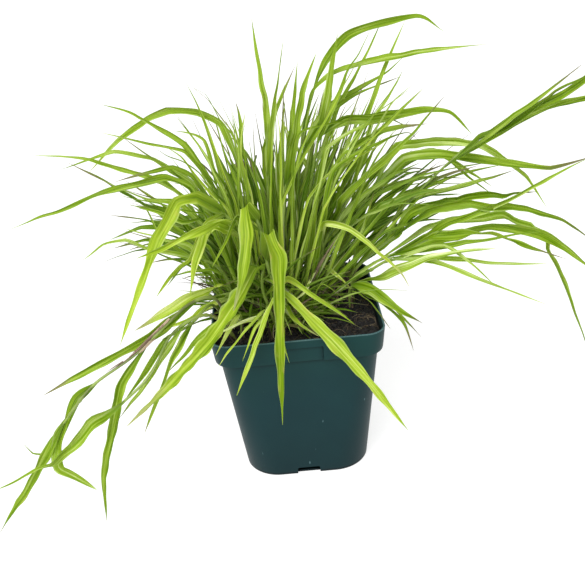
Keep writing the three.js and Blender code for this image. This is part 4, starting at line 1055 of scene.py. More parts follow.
def addRibbon(parts, path, stations, width, finish, look, form):
    length = stations["length"]
    rows = int(np.clip(length / fineBlade["rowPitch"], *fineBlade["rows"]))
    share = np.linspace(0, 1, rows + 1)
    along = share * length
    place = kinkedPoints(path, share, form["kink"])
    tangent = unit(np.gradient(place, axis=0))
    across = np.stack([np.interp(share, stations["share"], row) for row in stations["across"].T], axis=1)
    across = unit(across - tangent * np.sum(across * tangent, axis=1, keepdims=True))
    out = np.cross(tangent, across)
    if np.mean(out @ stations["facing"]) < 0:
        out = -out
    else:
        across = -across
    starts = form["starts"]
    free = smoothStep(share, *fineBlade["freeFrom"])
    spin = (form["spin"] * free * np.sin(2 * math.pi * along / form["spinLength"] + starts[0]))[:, None]
    across, out = across * np.cos(spin) + out * np.sin(spin), out * np.cos(spin) - across * np.sin(spin)
    cycle = 2 * math.pi * along / form["waveLength"]
    half = width / 2 * widthShare(share, form.get("opens", fineBlade["opens"]))
    broad, narrow = fineBlade["unevenCycles"]
    swell = np.sin(broad * cycle + starts[1]) * np.sin(narrow * cycle + starts[2])
    half = half * (1 + form.get("uneven", fineBlade["uneven"]) * free * swell)
    half = np.maximum(half, fineBlade["tipHalf"])
    rise = free * (1 - fineBlade["calmTip"] * share)
    slow, fast = fineBlade["swayCycles"]
    sway = np.sin(slow * cycle + starts[3]) + fineBlade["secondSway"] * np.sin(fast * cycle + starts[4])
    bent = fineBlade["ripple"] * rise * sway
    for at, height, creaseReach in form["creases"]:
        crease = np.maximum(0, 1 - np.abs(along - at * length) / creaseReach)
        bent = bent + free * height * (half / width) * crease
    place = place + out * (width * bent)[:, None]
    u = np.linspace(-1, 1, fineBlade["columns"][np.searchsorted(fineBlade["wideFrom"], width)])
    edge = np.abs(u)
    folds = np.where(u > 0, *form["fold"])
    atRoot = (1 - smoothStep(share, 0, fineBlade["rootEnd"]))[:, None]
    fold = folds + (form.get("rootFold", fineBlade["rootFold"]) - folds) * atRoot
    margin = np.sin(cycle[:, None] + np.where(u > 0, starts[5], starts[6]))
    waved = u * u * form["wave"] * rise[:, None] * margin
    lift = half[:, None] * (edge ** fineBlade["cupPower"] * np.sin(fold) + waved)
    reach = half[:, None] * u * np.cos(fold)
    atEdge, atRib = fineBlade["edgeThickness"], fineBlade["ribThickness"]
    thin = np.minimum(1, half / fineBlade["tipThinFrom"])[:, None]
    thick = np.maximum((atEdge + (atRib - atEdge) * (1 - edge) ** 2) * thin, fineBlade["leastThickness"])
    middle = place[:, None] + across[:, None] * reach[..., None]
    upper = middle + out[:, None] * (lift + thick / 2)[..., None]
    lower = middle + out[:, None] * (lift - thick / 2)[..., None]
    points, faces = closedLoft(np.concatenate([upper, lower[:, ::-1]], axis=1))
    side = np.concatenate([half[:, None] * u, half[:, None] * u[::-1]], axis=1)
    blade = np.stack(np.broadcast_arrays(side, along[:, None], share[:, None]), axis=-1).reshape(-1, 3)
    addPart(parts, points, faces, finish, blade, look, np.tile(np.append(edge, edge), len(share)))


# A fine culm: round, thicker at its nodes, with a sheath below each blade's collar.
fineCulm = {
    "sides": 8, "rowPitch": 2.4, "leastRows": 8, "below": 3, "tipLength": 5, "tipShare": 0.35,
    "sheathLength": 20, "sheathThickness": 0.25, "sheathFade": 0.6, "collar": 0.5, "sheathPale": 0.7,
    "nodeRise": 0.28, "nodeLength": 1.3, "freshens": (0.05, 0.6), "strawFade": 0.8, "purpleFade": 0.3,
}


tubeFace = frontFace + np.array([0.11, 0, 0])  # turned a little, so that no culm runs straight along it


def addTube(parts, place, radius, finish, share, look, sides):
    tangent = unit(np.gradient(place, axis=0))
    across = unit(np.cross(tangent, tubeFace))
    out = np.cross(tangent, across)
    angle = 2 * math.pi * np.arange(sides) / sides
    turned = across[:, None] * np.cos(angle)[:, None] + out[:, None] * np.sin(angle)[:, None]
    points, faces = closedLoft(place[:, None] + radius[:, None, None] * turned)
    along = runAlong(place)[:, None]
    blade = np.stack(np.broadcast_arrays(2 * np.cos(angle), along, share[:, None]), axis=-1)
    look = np.asarray(look, float)
    if look.ndim == 2:
        look = np.repeat(look, sides, axis=0)
    addPart(parts, points, faces, finish, blade.reshape(-1, 3), look)


def addCulm(parts, row, radii, tone, purple):
    length = row["stations"]["length"]
    share = np.linspace(0, 1, max(fineCulm["leastRows"], int(length / fineCulm["rowPitch"])) + 1)
    place, _ = spacedPoints(row["stations"]["place"], share)
    radius = radii[0] + (radii[1] - radii[0]) * share
    sheathed = np.zeros(len(share))
    for leaf in row["blades"]:
        below = (leaf["at"] - share) * length
        covered = (below > -fineCulm["collar"]) & (below < fineCulm["sheathLength"])
        cover = 1 - fineCulm["sheathFade"] * below / fineCulm["sheathLength"]
        sheathed = np.maximum(sheathed, np.where(covered, cover, 0))
        fromNode = (below - fineCulm["sheathLength"]) / fineCulm["nodeLength"]
        radius = np.maximum(radius, (radii[0] + fineCulm["nodeRise"]) * np.exp(-fromNode * fromNode))
    radius = radius + fineCulm["sheathThickness"] * sheathed
    tip = smoothStep((1 - share) * length, 0, fineCulm["tipLength"])
    radius = radius * (fineCulm["tipShare"] + (1 - fineCulm["tipShare"]) * tip)
    foot = place[0] - [0, 0, culm["neck"] + fineCulm["below"]]
    place, radius = np.vstack([foot, place]), np.append(radii[0], radius)
    share, sheathed = np.append(0, share), np.append(0, sheathed)
    fresh = smoothStep(share, *fineCulm["freshens"])
    straw, stain = tone * (1 - fineCulm["strawFade"] * fresh), purple * (1 - fineCulm["purpleFade"] * fresh)
    look = np.stack([straw, stain, fineCulm["sheathPale"] * sheathed], axis=1)
    addTube(parts, place, radius, 1, share, look, fineCulm["sides"])


# Old leaf sheaths at a stem's foot: short dry strips that stand round it and peel away at the top.
oldSheath = {
    "count": (1, 4), "length": (9, 34), "width": (2, 3.6), "peel": 0.35, "below": 2, "off": 0.4,
    "stations": (0.3, 0.65, 1), "facets": 12,
}


# A level direction, and a turn about the upright axis.
def heading(turn):
    return np.array([math.cos(turn), math.sin(turn), 0])


def uprightTurn(turn):
    return np.array([[math.cos(turn), math.sin(turn), 0], [-math.sin(turn), math.cos(turn), 0], [0, 0, 1]])


def addOldSheaths(parts, row, draw):
    foot = np.array([*row["foot"], soil["top"]])
    upwards = unit(row["stations"]["place"][3] - foot)
    for _ in range(int(between(draw, oldSheath["count"]))):
        out = heading(2 * math.pi * draw())
        length = between(draw, oldSheath["length"])
        shares = np.array([-oldSheath["below"] / length, *oldSheath["stations"]])[:, None]
        peel = oldSheath["peel"] * length * draw() * np.maximum(shares, 0) ** 2
        path = foot + out * (culm["footRadius"] + oldSheath["off"] + peel) + upwards * length * shares
        stations = stationsOf(path, oldSheath["facets"], out, 0, 0)
        form = stripForm(draw)
        addRibbon(parts, path, stations, between(draw, oldSheath["width"]), 2, (draw(), 0, draw()), form)


# Dead purple-brown sheaths that still cling to a long culm, between two shares of its length.
clingingSheaths = {
    "trail_tip": {"span": (0.42, 0.68), "strips": 9, "long": (12, 28), "wide": (1.3, 2.6), "stain": 0.75,
                  "off": 0.3, "peel": 1.2, "points": 5, "leastTone": 0.4},
}


def addClingingSheaths(parts, row, draw, sheaths):
    stations = row["stations"]
    lift = np.linspace(0, 1, sheaths["points"])[:, None] ** 2
    for _ in range(sheaths["strips"]):
        start = between(draw, sheaths["span"])
        end = min(1, start + between(draw, sheaths["long"]) / stations["length"])
        place, _ = spacedPoints(stations["place"], np.linspace(start, end, sheaths["points"]))
        turn = 2 * math.pi * draw()
        aside = unit(np.array([math.cos(turn), math.sin(turn) - 1, math.sin(turn)]))
        path = place + aside * (culm["footRadius"] + sheaths["off"] + sheaths["peel"] * draw() * lift)
        form = stripForm(draw)
        tone, stain, turn = between(draw, (sheaths["leastTone"], 1)), sheaths["stain"] * draw(), draw()
        strip = stationsOf(path, oldSheath["facets"], aside, 0, 0)
        addRibbon(parts, path, strip, between(draw, sheaths["wide"]), 2, (tone, stain, turn), form)


# Culms that are purple-brown, and stems whose broad blades have waved margins.
purpleCulms = {"trail_tip": 0.9, "trail_mid": 0.5, "tall_right": 0.3, "low_right": 0.25, "rim_right": 0.4}
wavedStems = {"fall_left", "fall_front", "knee_front", "left_shelf", "trail_mid"}
# Blades whose form is their own, by stem and number: broad ones rise flat and fold over sharply with their
# face to the front, and some stay narrow for longer before they open.
foldedOver = {"opens": (0, 0.1), "kink": 0.8, "spin": 0.12, "uneven": 0.3}
ownForms = {
    ("fall_front", 0): foldedOver, ("fall_front", 1): foldedOver,
    ("fall_left", 0): foldedOver, ("fall_left", 1): foldedOver,
    ("knee_front", 0): {**foldedOver, "tone": 0.3},
    ("knee_front", 1): {"opens": (0.12, 0.5), "kink": 0.8, "spin": 0.15, "uneven": 0.25},
    ("top_arch", 0): {"opens": (0.2, 0.5)}, ("top_arch", 1): {"opens": (0.1, 0.6)},
    ("tall_right", 0): {"opens": (0.1, 0.8), "spin": 0.15, "kink": 0.3},
    ("tall_right", 1): {"opens": (0.1, 0.9), "spin": 0.15, "kink": 0.3},
    ("tall_right", 2): {"spin": 0.1, "kink": 0.3},
}
# How pale the blades of a stem are, from 0 to 1, and how wide they open, as a share of their width.
stemTones = {
    "left_high": 0.95, "left_arch": 0.7, "left_mid": 0.75, "left_long": 0.55, "top_left": 0.75,
    "top_mid": 0.6, "top_arch": 0.3, "top_right": 0.7, "arch_right": 0.6, "shelf_right": 0.45,
    "low_right": 0.3, "tall_right": 0.1,
}
stemWidths = {"left_high": 0.76, "left_long": 0.76, "left_mid": 0.85, "low_right": 1.3, "top_right": 1.25}
stemLook = {"seed": 7351, "purple": 0.25, "rare": 3, "ownShare": 0.5}
look = seededRandom(stemLook["seed"])
for row in grown[:plantStems]:
    name, parts = row["name"], newParts()
    purple = purpleCulms.get(name, stemLook["purple"] * look() ** stemLook["rare"])
    addCulm(parts, row, (culm["footRadius"], culm["tipRadius"]), look(), purple)
    stemTone = stemTones.get(name, look())
    opened = fineBlade["ruleWidth"] if row["group"] else stemWidths.get(name, fineBlade["namedWidth"])
    for number, leaf in enumerate(row["blades"]):
        tone = stemTone + stemLook["ownShare"] * (look() - stemTone)
        dry, turn = look() ** stemLook["rare"], look()
        form = bladeForms(look, fineBlade["broadWave"] if name in wavedStems else 1)
        form.update(ownForms.get((name, number), {}))
        stations = leaf["stations"]
        if form.get("uneven"):
            stations = stationsOf(leaf["path"], bladeForm["stations"], frontFace, 0, 0)
        bladeLook = (form.get("tone", tone), dry, turn)
        addRibbon(parts, leaf["path"], stations, opened * leaf["width"], 0, bladeLook, form)
    addOldSheaths(parts, row, look)
    if name in clingingSheaths:
        addClingingSheaths(parts, row, look, clingingSheaths[name])
    node = "culm_" + name
    finishes = [leafMaterials[slotOf[node]], culmFinish, deadFinish]
    makePiece("leafy_" + name, parts, finishes, slotOf[node], [node])
print("leafy stems made")

# Shoots go out in one piece for each of their groups.
shootRows = {}
for row in shootStems:
    shootRows.setdefault((row["group"]["to"], row["group"]["wide"]), []).append(row)
for number, rows in enumerate(shootRows.values(), 1):
    parts = newParts()
    for row in rows:
        radii = (shoots["footRadius"], shoots["tipShare"] * shoots["footRadius"])
        addCulm(parts, row, radii, shoots["toneShare"] * look(), shoots["purpleShare"] * look())
        for leaf in row["blades"]:
            bladeLook = (look(), look(), look())
            addRibbon(parts, leaf["path"], leaf["stations"], leaf["width"], 0, bladeLook, bladeForms(look))
    # a group's slot takes the green copy, or the deep copy that is painted darker as painted shade
    slot = rows[0]["group"]["slot"]
    makePiece(f"shoots_{number}", parts, [leafMaterials[slot], culmFinish], slot)
print("shoots made")

slim = {"roll": (-0.5, 0.5), "twist": (-0.6, 0.6), "toneShare": 0.7}
for slot, rows in slimBlades.items():
    parts = newParts()
    for width, dry, foot, *points in rows:
        path = [(*foot, soil["top"] - 1)[:3], *points]
        roll, twist = between(look, slim["roll"]), between(look, slim["twist"])
        stations = stationsOf(path, bladeForm["stations"], frontFace, roll, twist)
        bladeLook = (slim["toneShare"] * look(), dry, look())
        addRibbon(parts, path, stations, width, 0, bladeLook, bladeForms(look))
    makePiece(slot.replace("leaf", "slim"), parts, [leafMaterials[slot]], slot)
print("slim blades made")

# The crown is thick with short thin leaves and a few dead ones, low between the stems and longest at its
# front: how many tufts, where, the length, width, rise and end slope of their blades, how far these go to the
# front, and how far they turn from the crown's middle.
crownTuft = {
    "blades": (3, 6), "dead": 0.12, "stain": 0.1, "shorter": 1.5, "darker": 1.5, "roll": (-0.6, 0.6),
    "twist": (-0.8, 0.8), "facets": 16,
}
tuftKeys = ("count", "centre", "reach", "long", "wide", "rise", "end", "mostForward", "turned")
crownTufts = {
    "crown_tufts": (105, (-17, 20), (38, 31), (16, 66), (1.2, 3), (86, 36), (72, -25), -0.95, 1.2),
    "front_tufts": (76, (-15, -6), (30, 8), (22, 92), (1.2, 3), (82, 30), (66, -25), -0.6, 3.1),
    "low_tufts": (40, (-8, -12), (30, 10), (18, 60), (1.1, 2.6), (60, 15), (25, -40), -1, 3.1),
}


def addTuft(parts, group):
    turn, reach = 2 * math.pi * look(), math.sqrt(look())
    start = np.array(group["centre"]) + np.array(group["reach"]) * reach * heading(turn)[:2]
    start = np.array([*start, soil["top"] - 1])
    for _ in range(round(between(look, crownTuft["blades"]))):
        azimuth = turn + group["turned"] * between(look, (-1, 1))
        if math.sin(azimuth) < group["mostForward"]:
            continue
        rise, end = between(look, group["rise"]), between(look, group["end"])
        shortest, longest = group["long"]
        length = shortest + (longest - shortest) * look() ** crownTuft["shorter"]
        path = [start, *archedPath(start, azimuth, rise, end, length)]
        roll, twist = between(look, crownTuft["roll"]), between(look, crownTuft["twist"])
        stations = stationsOf(path, crownTuft["facets"], ruleFacing(azimuth), roll, twist)
        isDead = look() < crownTuft["dead"]
        # tufts take the deep copy of the blade and tones skewed dark, both painted shade low in the crown
        tone = look() ** crownTuft["darker"]
        dry, turned = crownTuft["stain"] * look() if isDead else look(), look()
        width = between(look, group["wide"])
        addRibbon(parts, path, stations, width, int(isDead), (tone, dry, turned), bladeForms(look))


for name, row in crownTufts.items():
    parts, group = newParts(), dict(zip(tuftKeys, row))
    for _ in range(group["count"]):
        addTuft(parts, group)
    makePiece(name, parts, [leafMaterials["leaf_shade"], deadFinish], "leaf_shade")
print("crown tufts made")


# The pot as it comes from its mould: round edges, a soft step under the band, a recess for a label.
finePot = {
    "cornerSteps": 14, "sideStops": (3, 6, 9, 12, 15), "sideEnd": 20, "sideSteps": 5, "sharp": 32,
    "foot": 2, "footSteps": 5, "bodyRings": 16, "bandRings": 6, "lip": 0.6, "lipSteps": 4,
    "stepRound": 0.5,
    "stepOut": ((0.15, -0.3), (1, 0)),  # out and up, both in shares of the step's rounding
    "stepUnder": ((1, 0.1), (0.25, 0.3), (0, 0.8)),  # in by shares of it, and up in mm
    "inside": 0.3, "innerFall": (0.6, 6), "innerStep": 0.2,
    "labelEdge": 0.3, "labelDepth": 1.25, "labelMargin": 7, "labelFoot": 0.05,
    "notchReach": 3.4, "notchSteps": 6, "notchBelow": 4,
}


def squareRing(half, corner, z):
    label = [pot["labelWidth"] / 2 + edge for edge in (-finePot["labelEdge"], finePot["labelEdge"])]
    stops = [*finePot["sideStops"], *label, finePot["sideEnd"]]
    outer = np.linspace(half - corner, finePot["sideEnd"], finePot["sideSteps"] + 1)[1:-1]
    side = [*outer, *stops[::-1], 0, *(-stop for stop in stops), *-outer[::-1]]
    angles = np.linspace(0, math.pi / 2, finePot["cornerSteps"] + 1)
    arc = half - corner + corner * np.stack([np.cos(angles), np.sin(angles)], axis=1)
    edge = np.vstack([arc, np.stack([side, np.full(len(side), half)], axis=1)])
    ring = np.vstack([edge @ uprightTurn(quarter * math.pi / 2)[:2, :2] for quarter in range(4)])
    return np.column_stack([ring, np.full(len(ring), z)])


def potRings():
    foot, lip, step = finePot["foot"], finePot["lip"], finePot["stepRound"]
    rings = []
    for turn in np.linspace(0, math.pi / 2, finePot["footSteps"]):
        inwards, up = foot * (1 - math.sin(turn)), foot * (1 - math.cos(turn))
        rings.append((pot["baseHalf"] - inwards, pot["baseCorner"] - inwards, up))
    for share in np.linspace(0, 1, finePot["bodyRings"])[1:]:
        rings.append((
            pot["baseHalf"] + (pot["bodyTopHalf"] - pot["baseHalf"]) * share,
            pot["baseCorner"] + (pot["bodyTopCorner"] - pot["baseCorner"]) * share,
            foot + (bandFoot - step - foot) * share,
        ))
    for out, up in finePot["stepOut"]:
        rings.append((pot["bodyTopHalf"] + out * step, pot["bodyTopCorner"], bandFoot + up * step))
    for inwards, up in finePot["stepUnder"]:
        rings.append((pot["bandFootHalf"] - inwards * step, pot["bodyTopCorner"], bandFoot + up))
    labelTop = pot["height"] - finePot["labelMargin"]
    heights = np.linspace(rings[-1][2], labelTop - finePot["labelEdge"], finePot["bandRings"])[1:]
    heights = [*heights, labelTop + finePot["labelEdge"], pot["height"] - lip]
    for z in heights:
        share = (z - bandFoot) / pot["bandHeight"]
        rings.append((
            pot["bandFootHalf"] + (pot["rimHalf"] - pot["bandFootHalf"]) * share,
            pot["bodyTopCorner"] + (pot["rimCorner"] - pot["bodyTopCorner"]) * share,
            z,
        ))
    for turn in np.linspace(0, math.pi / 2, finePot["lipSteps"])[1:]:
        inwards, down = lip * (1 - math.cos(turn)), lip * (1 - math.sin(turn))
        rings.append((pot["rimHalf"] - inwards, pot["rimCorner"] - inwards, pot["height"] - down))
    wall, edge, (fall, drop) = pot["wall"], finePot["inside"], finePot["innerFall"]
    rings += [
        (pot["rimHalf"] - wall + edge, pot["rimCorner"] - wall + edge, pot["height"]),
        (pot["rimHalf"] - wall, pot["rimCorner"] - wall, pot["height"] - edge),
        (pot["rimHalf"] - wall - fall, pot["bodyTopCorner"] - wall, pot["height"] - drop),
        (pot["bandFootHalf"] - wall, pot["bodyTopCorner"] - wall, bandFoot + wall + finePot["innerStep"]),
        (pot["bodyTopHalf"] - wall, pot["bodyTopCorner"] - wall, bandFoot + wall),
        (pot["baseHalf"] - wall, pot["baseCorner"] - wall, foot + wall),
        (pot["baseHalf"] - foot - wall, pot["baseCorner"] - foot - wall, wall),
    ]
    return np.array([squareRing(*ring) for ring in rings])


# The label recess is a shallow step in the front of the band, open at its lower edge.
def recessLabel(rings):
    x, y, z = rings[..., 0], rings[..., 1], rings[..., 2]
    outside = -y > potHalfAt(z) - pot["wall"] / 2
    inRecess = (z > bandFoot + finePot["labelFoot"]) & (z < pot["height"] - finePot["labelMargin"])
    inRecess = inRecess & (np.abs(x) < pot["labelWidth"] / 2)
    rings[..., 1] = np.where(outside & inRecess, y + finePot["labelDepth"], y)
    return rings


# The blocks that cut an arched drain notch into the middle of each side's foot.
def notchCutter():
    half, height, corner = pot["notchWidth"] / 2, pot["notchHeight"], pot["notchCorner"] / 2
    below = finePot["notchBelow"]
    angles = np.linspace(0, math.pi / 2, finePot["notchSteps"])
    right = [half - corner, height - corner] + corner * np.stack([np.cos(angles), np.sin(angles)], axis=1)
    profile = np.vstack([[half, -below], right, right[::-1] * [-1, 1], [-half, -below]])
    depths = (pot["baseHalf"] + below, pot["baseHalf"] - finePot["notchReach"])
    rings = np.array([np.insert(profile, 1, -depth, axis=1) for depth in depths])
    parts = newParts()
    for quarter in range(4):
        points, faces = closedLoft(rings @ uprightTurn(quarter * math.pi / 2))
        addPart(parts, points, faces[:, ::-1], 0)
    return newObject("notchCutter", newMesh("notchCutter", parts))


# Injection-moulded polypropylene: satin and dark teal, a little greener at the rim and duller at the foot,
# with a fine moulded grain and a few pale scuffs from handling.
potLook = {
    "grain": 1.1, "cloud": 26, "cloudShare": 0.35, "rise": (-0.06, 0.72),
    "colours": [(0, "#0f272a"), (0.55, "#133033"), (1, "#173836")],
    "roughness": (0.36, 0.5), "specular": 0.1, "ior": 1.49, "bump": 0.06, "depth": 0.2,
    "scuff": "#6d8f93", "scuffScale": (520, 520, 130),  # per metre: a scuff is 2 mm thick and 8 mm long
    "patchScale": 62, "scuffEdge": (0.47, 0.52), "scuffShare": 0.35,
    # the lip colour and its heights make a painted highlight along the rim
    "dust": "#3a342e", "dustShare": 0.8, "insideFrom": -0.02, "lip": "#5f7c7e", "lipHighlightFrom": (0.9, 0.2),
    # painted shade: a near-black colour laid into the steps, recess and corners by occlusion
    "occlusionShade": "#060d0e", "occlusionShadeReach": 4, "occlusionShadeEdge": (0.55, 0.97), "occlusionShadeShare": 0.9,
}


def potMaterial():
    material, tree = newMaterial("satinPolypropylene")
    place = addNode(tree, "TexCoord").outputs["Object"]
    z = addNode(tree, "SeparateXYZ", Vector=place).outputs["Z"]
    grain = speckle(tree, place, potLook["grain"], Detail=3, Roughness=0.6)
    cloud = speckle(tree, place, potLook["cloud"], Detail=2)
    height = addNode(tree, "MapRange", (z, 0, pot["height"] * mm, *potLook["rise"]))
    onRamp = addNode(tree, "Math", (cloud, potLook["cloudShare"], height), operation="MULTIPLY_ADD")
    colour = addNode(tree, "ValToRGB", stops=potLook["colours"], Fac=onRamp)
    # scuffs are short thin lines, drawn where a stretched noise and a patchy one both peak
    stretched = addNode(tree, "VectorMath", (place, potLook["scuffScale"]), operation="MULTIPLY")
    lines = addNode(tree, "TexNoise", Vector=stretched, Scale=1, Detail=1)
    patches = addNode(tree, "TexNoise", Vector=place, Scale=potLook["patchScale"], Detail=1)
    peaks = addNode(tree, "Math", (lines, patches), operation="MULTIPLY")
    scuffed = addNode(tree, "MapRange", (peaks, *potLook["scuffEdge"], 0, potLook["scuffShare"]),
                      interpolation_type="SMOOTHSTEP")
    worn = addNode(tree, "MixRGB", Fac=scuffed, Color1=colour, Color2=potLook["scuff"])
    # peat dust clings to the inside of the rim, where the surface faces the pot's middle
    facing = addNode(tree, "NewGeometry").outputs["Normal"]
    level = addNode(tree, "VectorMath", (facing, (1, 1, 0)), operation="MULTIPLY")
    outwards = addNode(tree, "VectorMath", (level, place), operation="DOT_PRODUCT").outputs["Value"]
    dusty = addNode(tree, "MapRange", (outwards, 0, potLook["insideFrom"], 0, potLook["dustShare"]))
    dusty = addNode(tree, "Math", (cloud, dusty), operation="MULTIPLY")
    for ends in ((pot["height"] - 1, soil["top"] + 1), (soil["top"] - 4, soil["top"] - 3)):
        here = addNode(tree, "MapRange", (z, *(end * mm for end in ends), 0, 1))
        dusty = addNode(tree, "Math", (dusty, here), operation="MULTIPLY")
    dusted = addNode(tree, "MixRGB", Fac=dusty, Color1=worn, Color2=potLook["dust"])
    # the lip is painted paler along its top as a painted highlight, and painted shade darkens the steps and
    # corners
    lip = addNode(tree, "MapRange", (z, *((pot["height"] - down) * mm for down in potLook["lipHighlightFrom"]), 0, 1))
    lipHighlight = addNode(tree, "Math", (lip, grain), operation="MULTIPLY")
    lipHighlighted = addNode(tree, "MixRGB", Fac=lipHighlight, Color1=dusted, Color2=potLook["lip"])
    # painted shade from occlusion darkens the step under the band, the label recess and other corners
    corners = addNode(tree, "AmbientOcclusion", Distance=potLook["occlusionShadeReach"] * mm, samples=8).outputs["AO"]
    occlusionShadeHere = addNode(tree, "MapRange", (corners, *potLook["occlusionShadeEdge"], potLook["occlusionShadeShare"], 0))
    finished = addNode(tree, "MixRGB", Fac=occlusionShadeHere, Color1=lipHighlighted, Color2=potLook["occlusionShade"])
    surface, _ = reliefSurface(tree, potLook, finished, grain, grain)
    addNode(tree, "OutputMaterial", Surface=surface)
    return material


parts = newParts()
addPart(parts, *closedLoft(recessLabel(potRings())), 0)
potPiece = makePiece("moulded_pot", parts, [potMaterial()], "pot_plastic", ["pot"], finePot["sharp"])
cutter = notchCutter()
cut = potPiece.modifiers.new("notches", "BOOLEAN")
cut.operation = "DIFFERENCE"
cut.solver = "EXACT"
cut.object = cutter
bpy.context.view_layer.update()
cleanMesh = bpy.data.meshes.new_from_object(potPiece.evaluated_get(bpy.context.evaluated_depsgraph_get()))
potPiece.modifiers.clear()
potPiece.data = cleanMesh
cleanMesh.set_sharp_from_angle(angle=math.radians(finePot["sharp"]))
bpy.data.objects.remove(cutter)
print("pot made:", len(cleanMesh.polygons), "faces")


# The soil's surface: clods and crumbs of peat, level near the pot's wall.
fineSoil = {
    "rings": 60, "innermost": 0.012, "edge": 3, "edgeDrop": 0.8, "wallGap": 0.35, "shoulder": 2.5, "foot": 2,
    "footRise": 2.2, "stepRise": (0.3, 0.5), "stepIn": 0.2,
    "layers": ((9, 2.2, 1.7, 0.6), (2.4, 1.5, 9.1, 0.8)),  # size, height, place in the noise, roughness
}


def soilSurface(x, y):
    rough = np.zeros(len(x))
    for i, (px, py) in enumerate(zip(x.tolist(), y.tolist())):
        for size, height, start, roughness in fineSoil["layers"]:
            rough[i] += height * noise.fractal((px / size, py / size, start), roughness, 2, 3)
    return soilHeight(x, y) + rough


def soilRings():
    gap = pot["wall"] + fineSoil["wallGap"]
    corner = pot["bodyTopCorner"] - gap
    foot = gap + fineSoil["foot"]
    low, high = (bandFoot + gap + rise for rise in fineSoil["stepRise"])
    topHalf = float(potHalfAt(soil["top"])) - gap
    deep = [(pot["baseHalf"] - foot, pot["baseCorner"] - foot, pot["wall"] + fineSoil["footRise"]),
            (pot["bodyTopHalf"] - gap, corner, bandFoot),
            (pot["bodyTopHalf"] - gap, corner, low),
            (float(potHalfAt(low)) - gap - fineSoil["stepIn"], corner, high),
            (topHalf, corner, soil["top"] - fineSoil["shoulder"])]
    rings = [squareRing(*ring) for ring in deep]
    edge = squareRing(topHalf, corner, 0)
    shares = np.linspace(1, fineSoil["innermost"], fineSoil["rings"])
    flat = np.concatenate([edge * share for share in shares])
    height = soilSurface(flat[:, 0], flat[:, 1])
    fromWall = topHalf - np.maximum(np.abs(flat[:, 0]), np.abs(flat[:, 1]))
    level = smoothStep(fromWall, -1, fineSoil["edge"])
    flat[:, 2] = (soil["top"] - fineSoil["edgeDrop"]) * (1 - level) + height * level
    return np.concatenate([np.array(rings), flat.reshape(len(shares), -1, 3)])


# Peat potting soil: damp, dark brown to black, matt, with fine lighter fibres and a faint wet gleam.
soilLook = {
    "crumb": 2.2, "fibre": 0.7, "crumbShare": 0.7, "fibreShare": 0.35,
    "colours": [(0.36, "#050505"), (0.48, "#110f0f"), (0.58, "#211f1f"), (0.7, "#464240"), (0.85, "#78726d")],
    "roughness": (0.95, 0.6), "specular": 0.5, "ior": 1.4, "bump": 1, "depth": 0.9,
}


def soilMaterial():
    material, tree = newMaterial("dampPeat")
    place = addNode(tree, "TexCoord").outputs["Object"]
    crumbs = speckle(tree, place, soilLook["crumb"], Detail=5, Roughness=0.7)
    fibres = speckle(tree, place, soilLook["fibre"], Detail=2, Distortion=1.5)
    mixed = addNode(tree, "Math", (fibres, soilLook["fibreShare"]), operation="MULTIPLY")
    mixed = addNode(tree, "Math", (crumbs, soilLook["crumbShare"], mixed), operation="MULTIPLY_ADD")
    colour = addNode(tree, "ValToRGB", stops=soilLook["colours"], Fac=mixed)
    surface, _ = reliefSurface(tree, soilLook, colour, mixed, crumbs)
    addNode(tree, "OutputMaterial", Surface=surface)
    return material


soilFinish = soilMaterial()
parts = newParts()
addPart(parts, *closedLoft(soilRings()), 0)
makePiece("peat_soil_fill", parts, [soilFinish], "peat_soil", ["soil"], sharp=180)
print("soil made")


# Loose stuff on the soil: crumbs, fibres, bark and dead bits of grass, and old stubble round the crown.
loose = {
    "seed": 5519, "fromWall": 4, "corner": 5,
    "crumbs": 1300, "crumbSize": (0.5, 2.1), "crumbRough": 0.4, "crumbSmall": 2.5, "crumbLift": 0.25,
    "crumbSides": ((0.7, 1.3), (0.7, 1.3), (0.6, 1)),
    "curl": (-0.7, 0.7), "curlEach": (0.3, 1), "spread": (0.013, 0.007),
    "fibres": 320, "fibreLength": (4, 20), "fibreRadius": (0.12, 0.34), "fibreLift": 0.3,
    "fibreRise": (0, 1.6), "fibrePoints": 5, "fibreRows": 11, "fibreSides": 4, "fibreTaper": 0.6,
    "fibreTone": 0.45,
    "bark": 90, "barkLength": (2, 7), "barkWidth": (0.8, 2.4), "barkLift": 0.5, "barkTilt": (-0.4, 0.4),
    "barkPoints": 4, "barkFacets": 6, "barkFold": 0.2, "barkTone": 0.25,
    "stubs": 80, "stubLength": (7, 40), "stubRadius": (0.35, 0.9), "stubReach": (52, 36, 0), "stubBelow": 2,
    "stubLean": (0, 0.7), "stubBend": (-0.2, 0.2), "stubRows": 9, "stubSides": 6, "stubTaper": 0.3,
    "stubTone": (0.2, 0.9),
}


def onSoil(draw):
    half = float(potHalfAt(soil["top"])) - pot["wall"] - loose["fromWall"]
    while True:
        x, y = half * between(draw, (-1, 1)), half * between(draw, (-1, 1))
        if (abs(x) / half) ** loose["corner"] + (abs(y) / half) ** loose["corner"] < 1:
            return x, y


def onSurface(points, lift):
    return np.column_stack([points, soilSurface(points[:, 0], points[:, 1]) + lift])


# A small round block of four-sided faces: a cube whose faces are cut in four.
def roundBlock():
    steps = np.array([-1, 0, 1])
    points, faces = [], []
    for axis in range(3):
        for sign in (-1, 1):
            grid = np.array([[a, b] for a in steps for b in steps], float)
            block = np.insert(grid, axis, sign, axis=1)
            first = len(points)
            points.extend(block.tolist())
            flip = sign * (1 if axis != 1 else -1)
            for i in range(2):
                for j in range(2):
                    a = first + 3 * i + j
                    quad = [a, a + 3, a + 4, a + 1]
                    faces.append(quad if flip > 0 else quad[::-1])
    corners, back = np.unique(np.array(points), axis=0, return_inverse=True)
    return unit(corners), back.reshape(-1)[np.array(faces)]


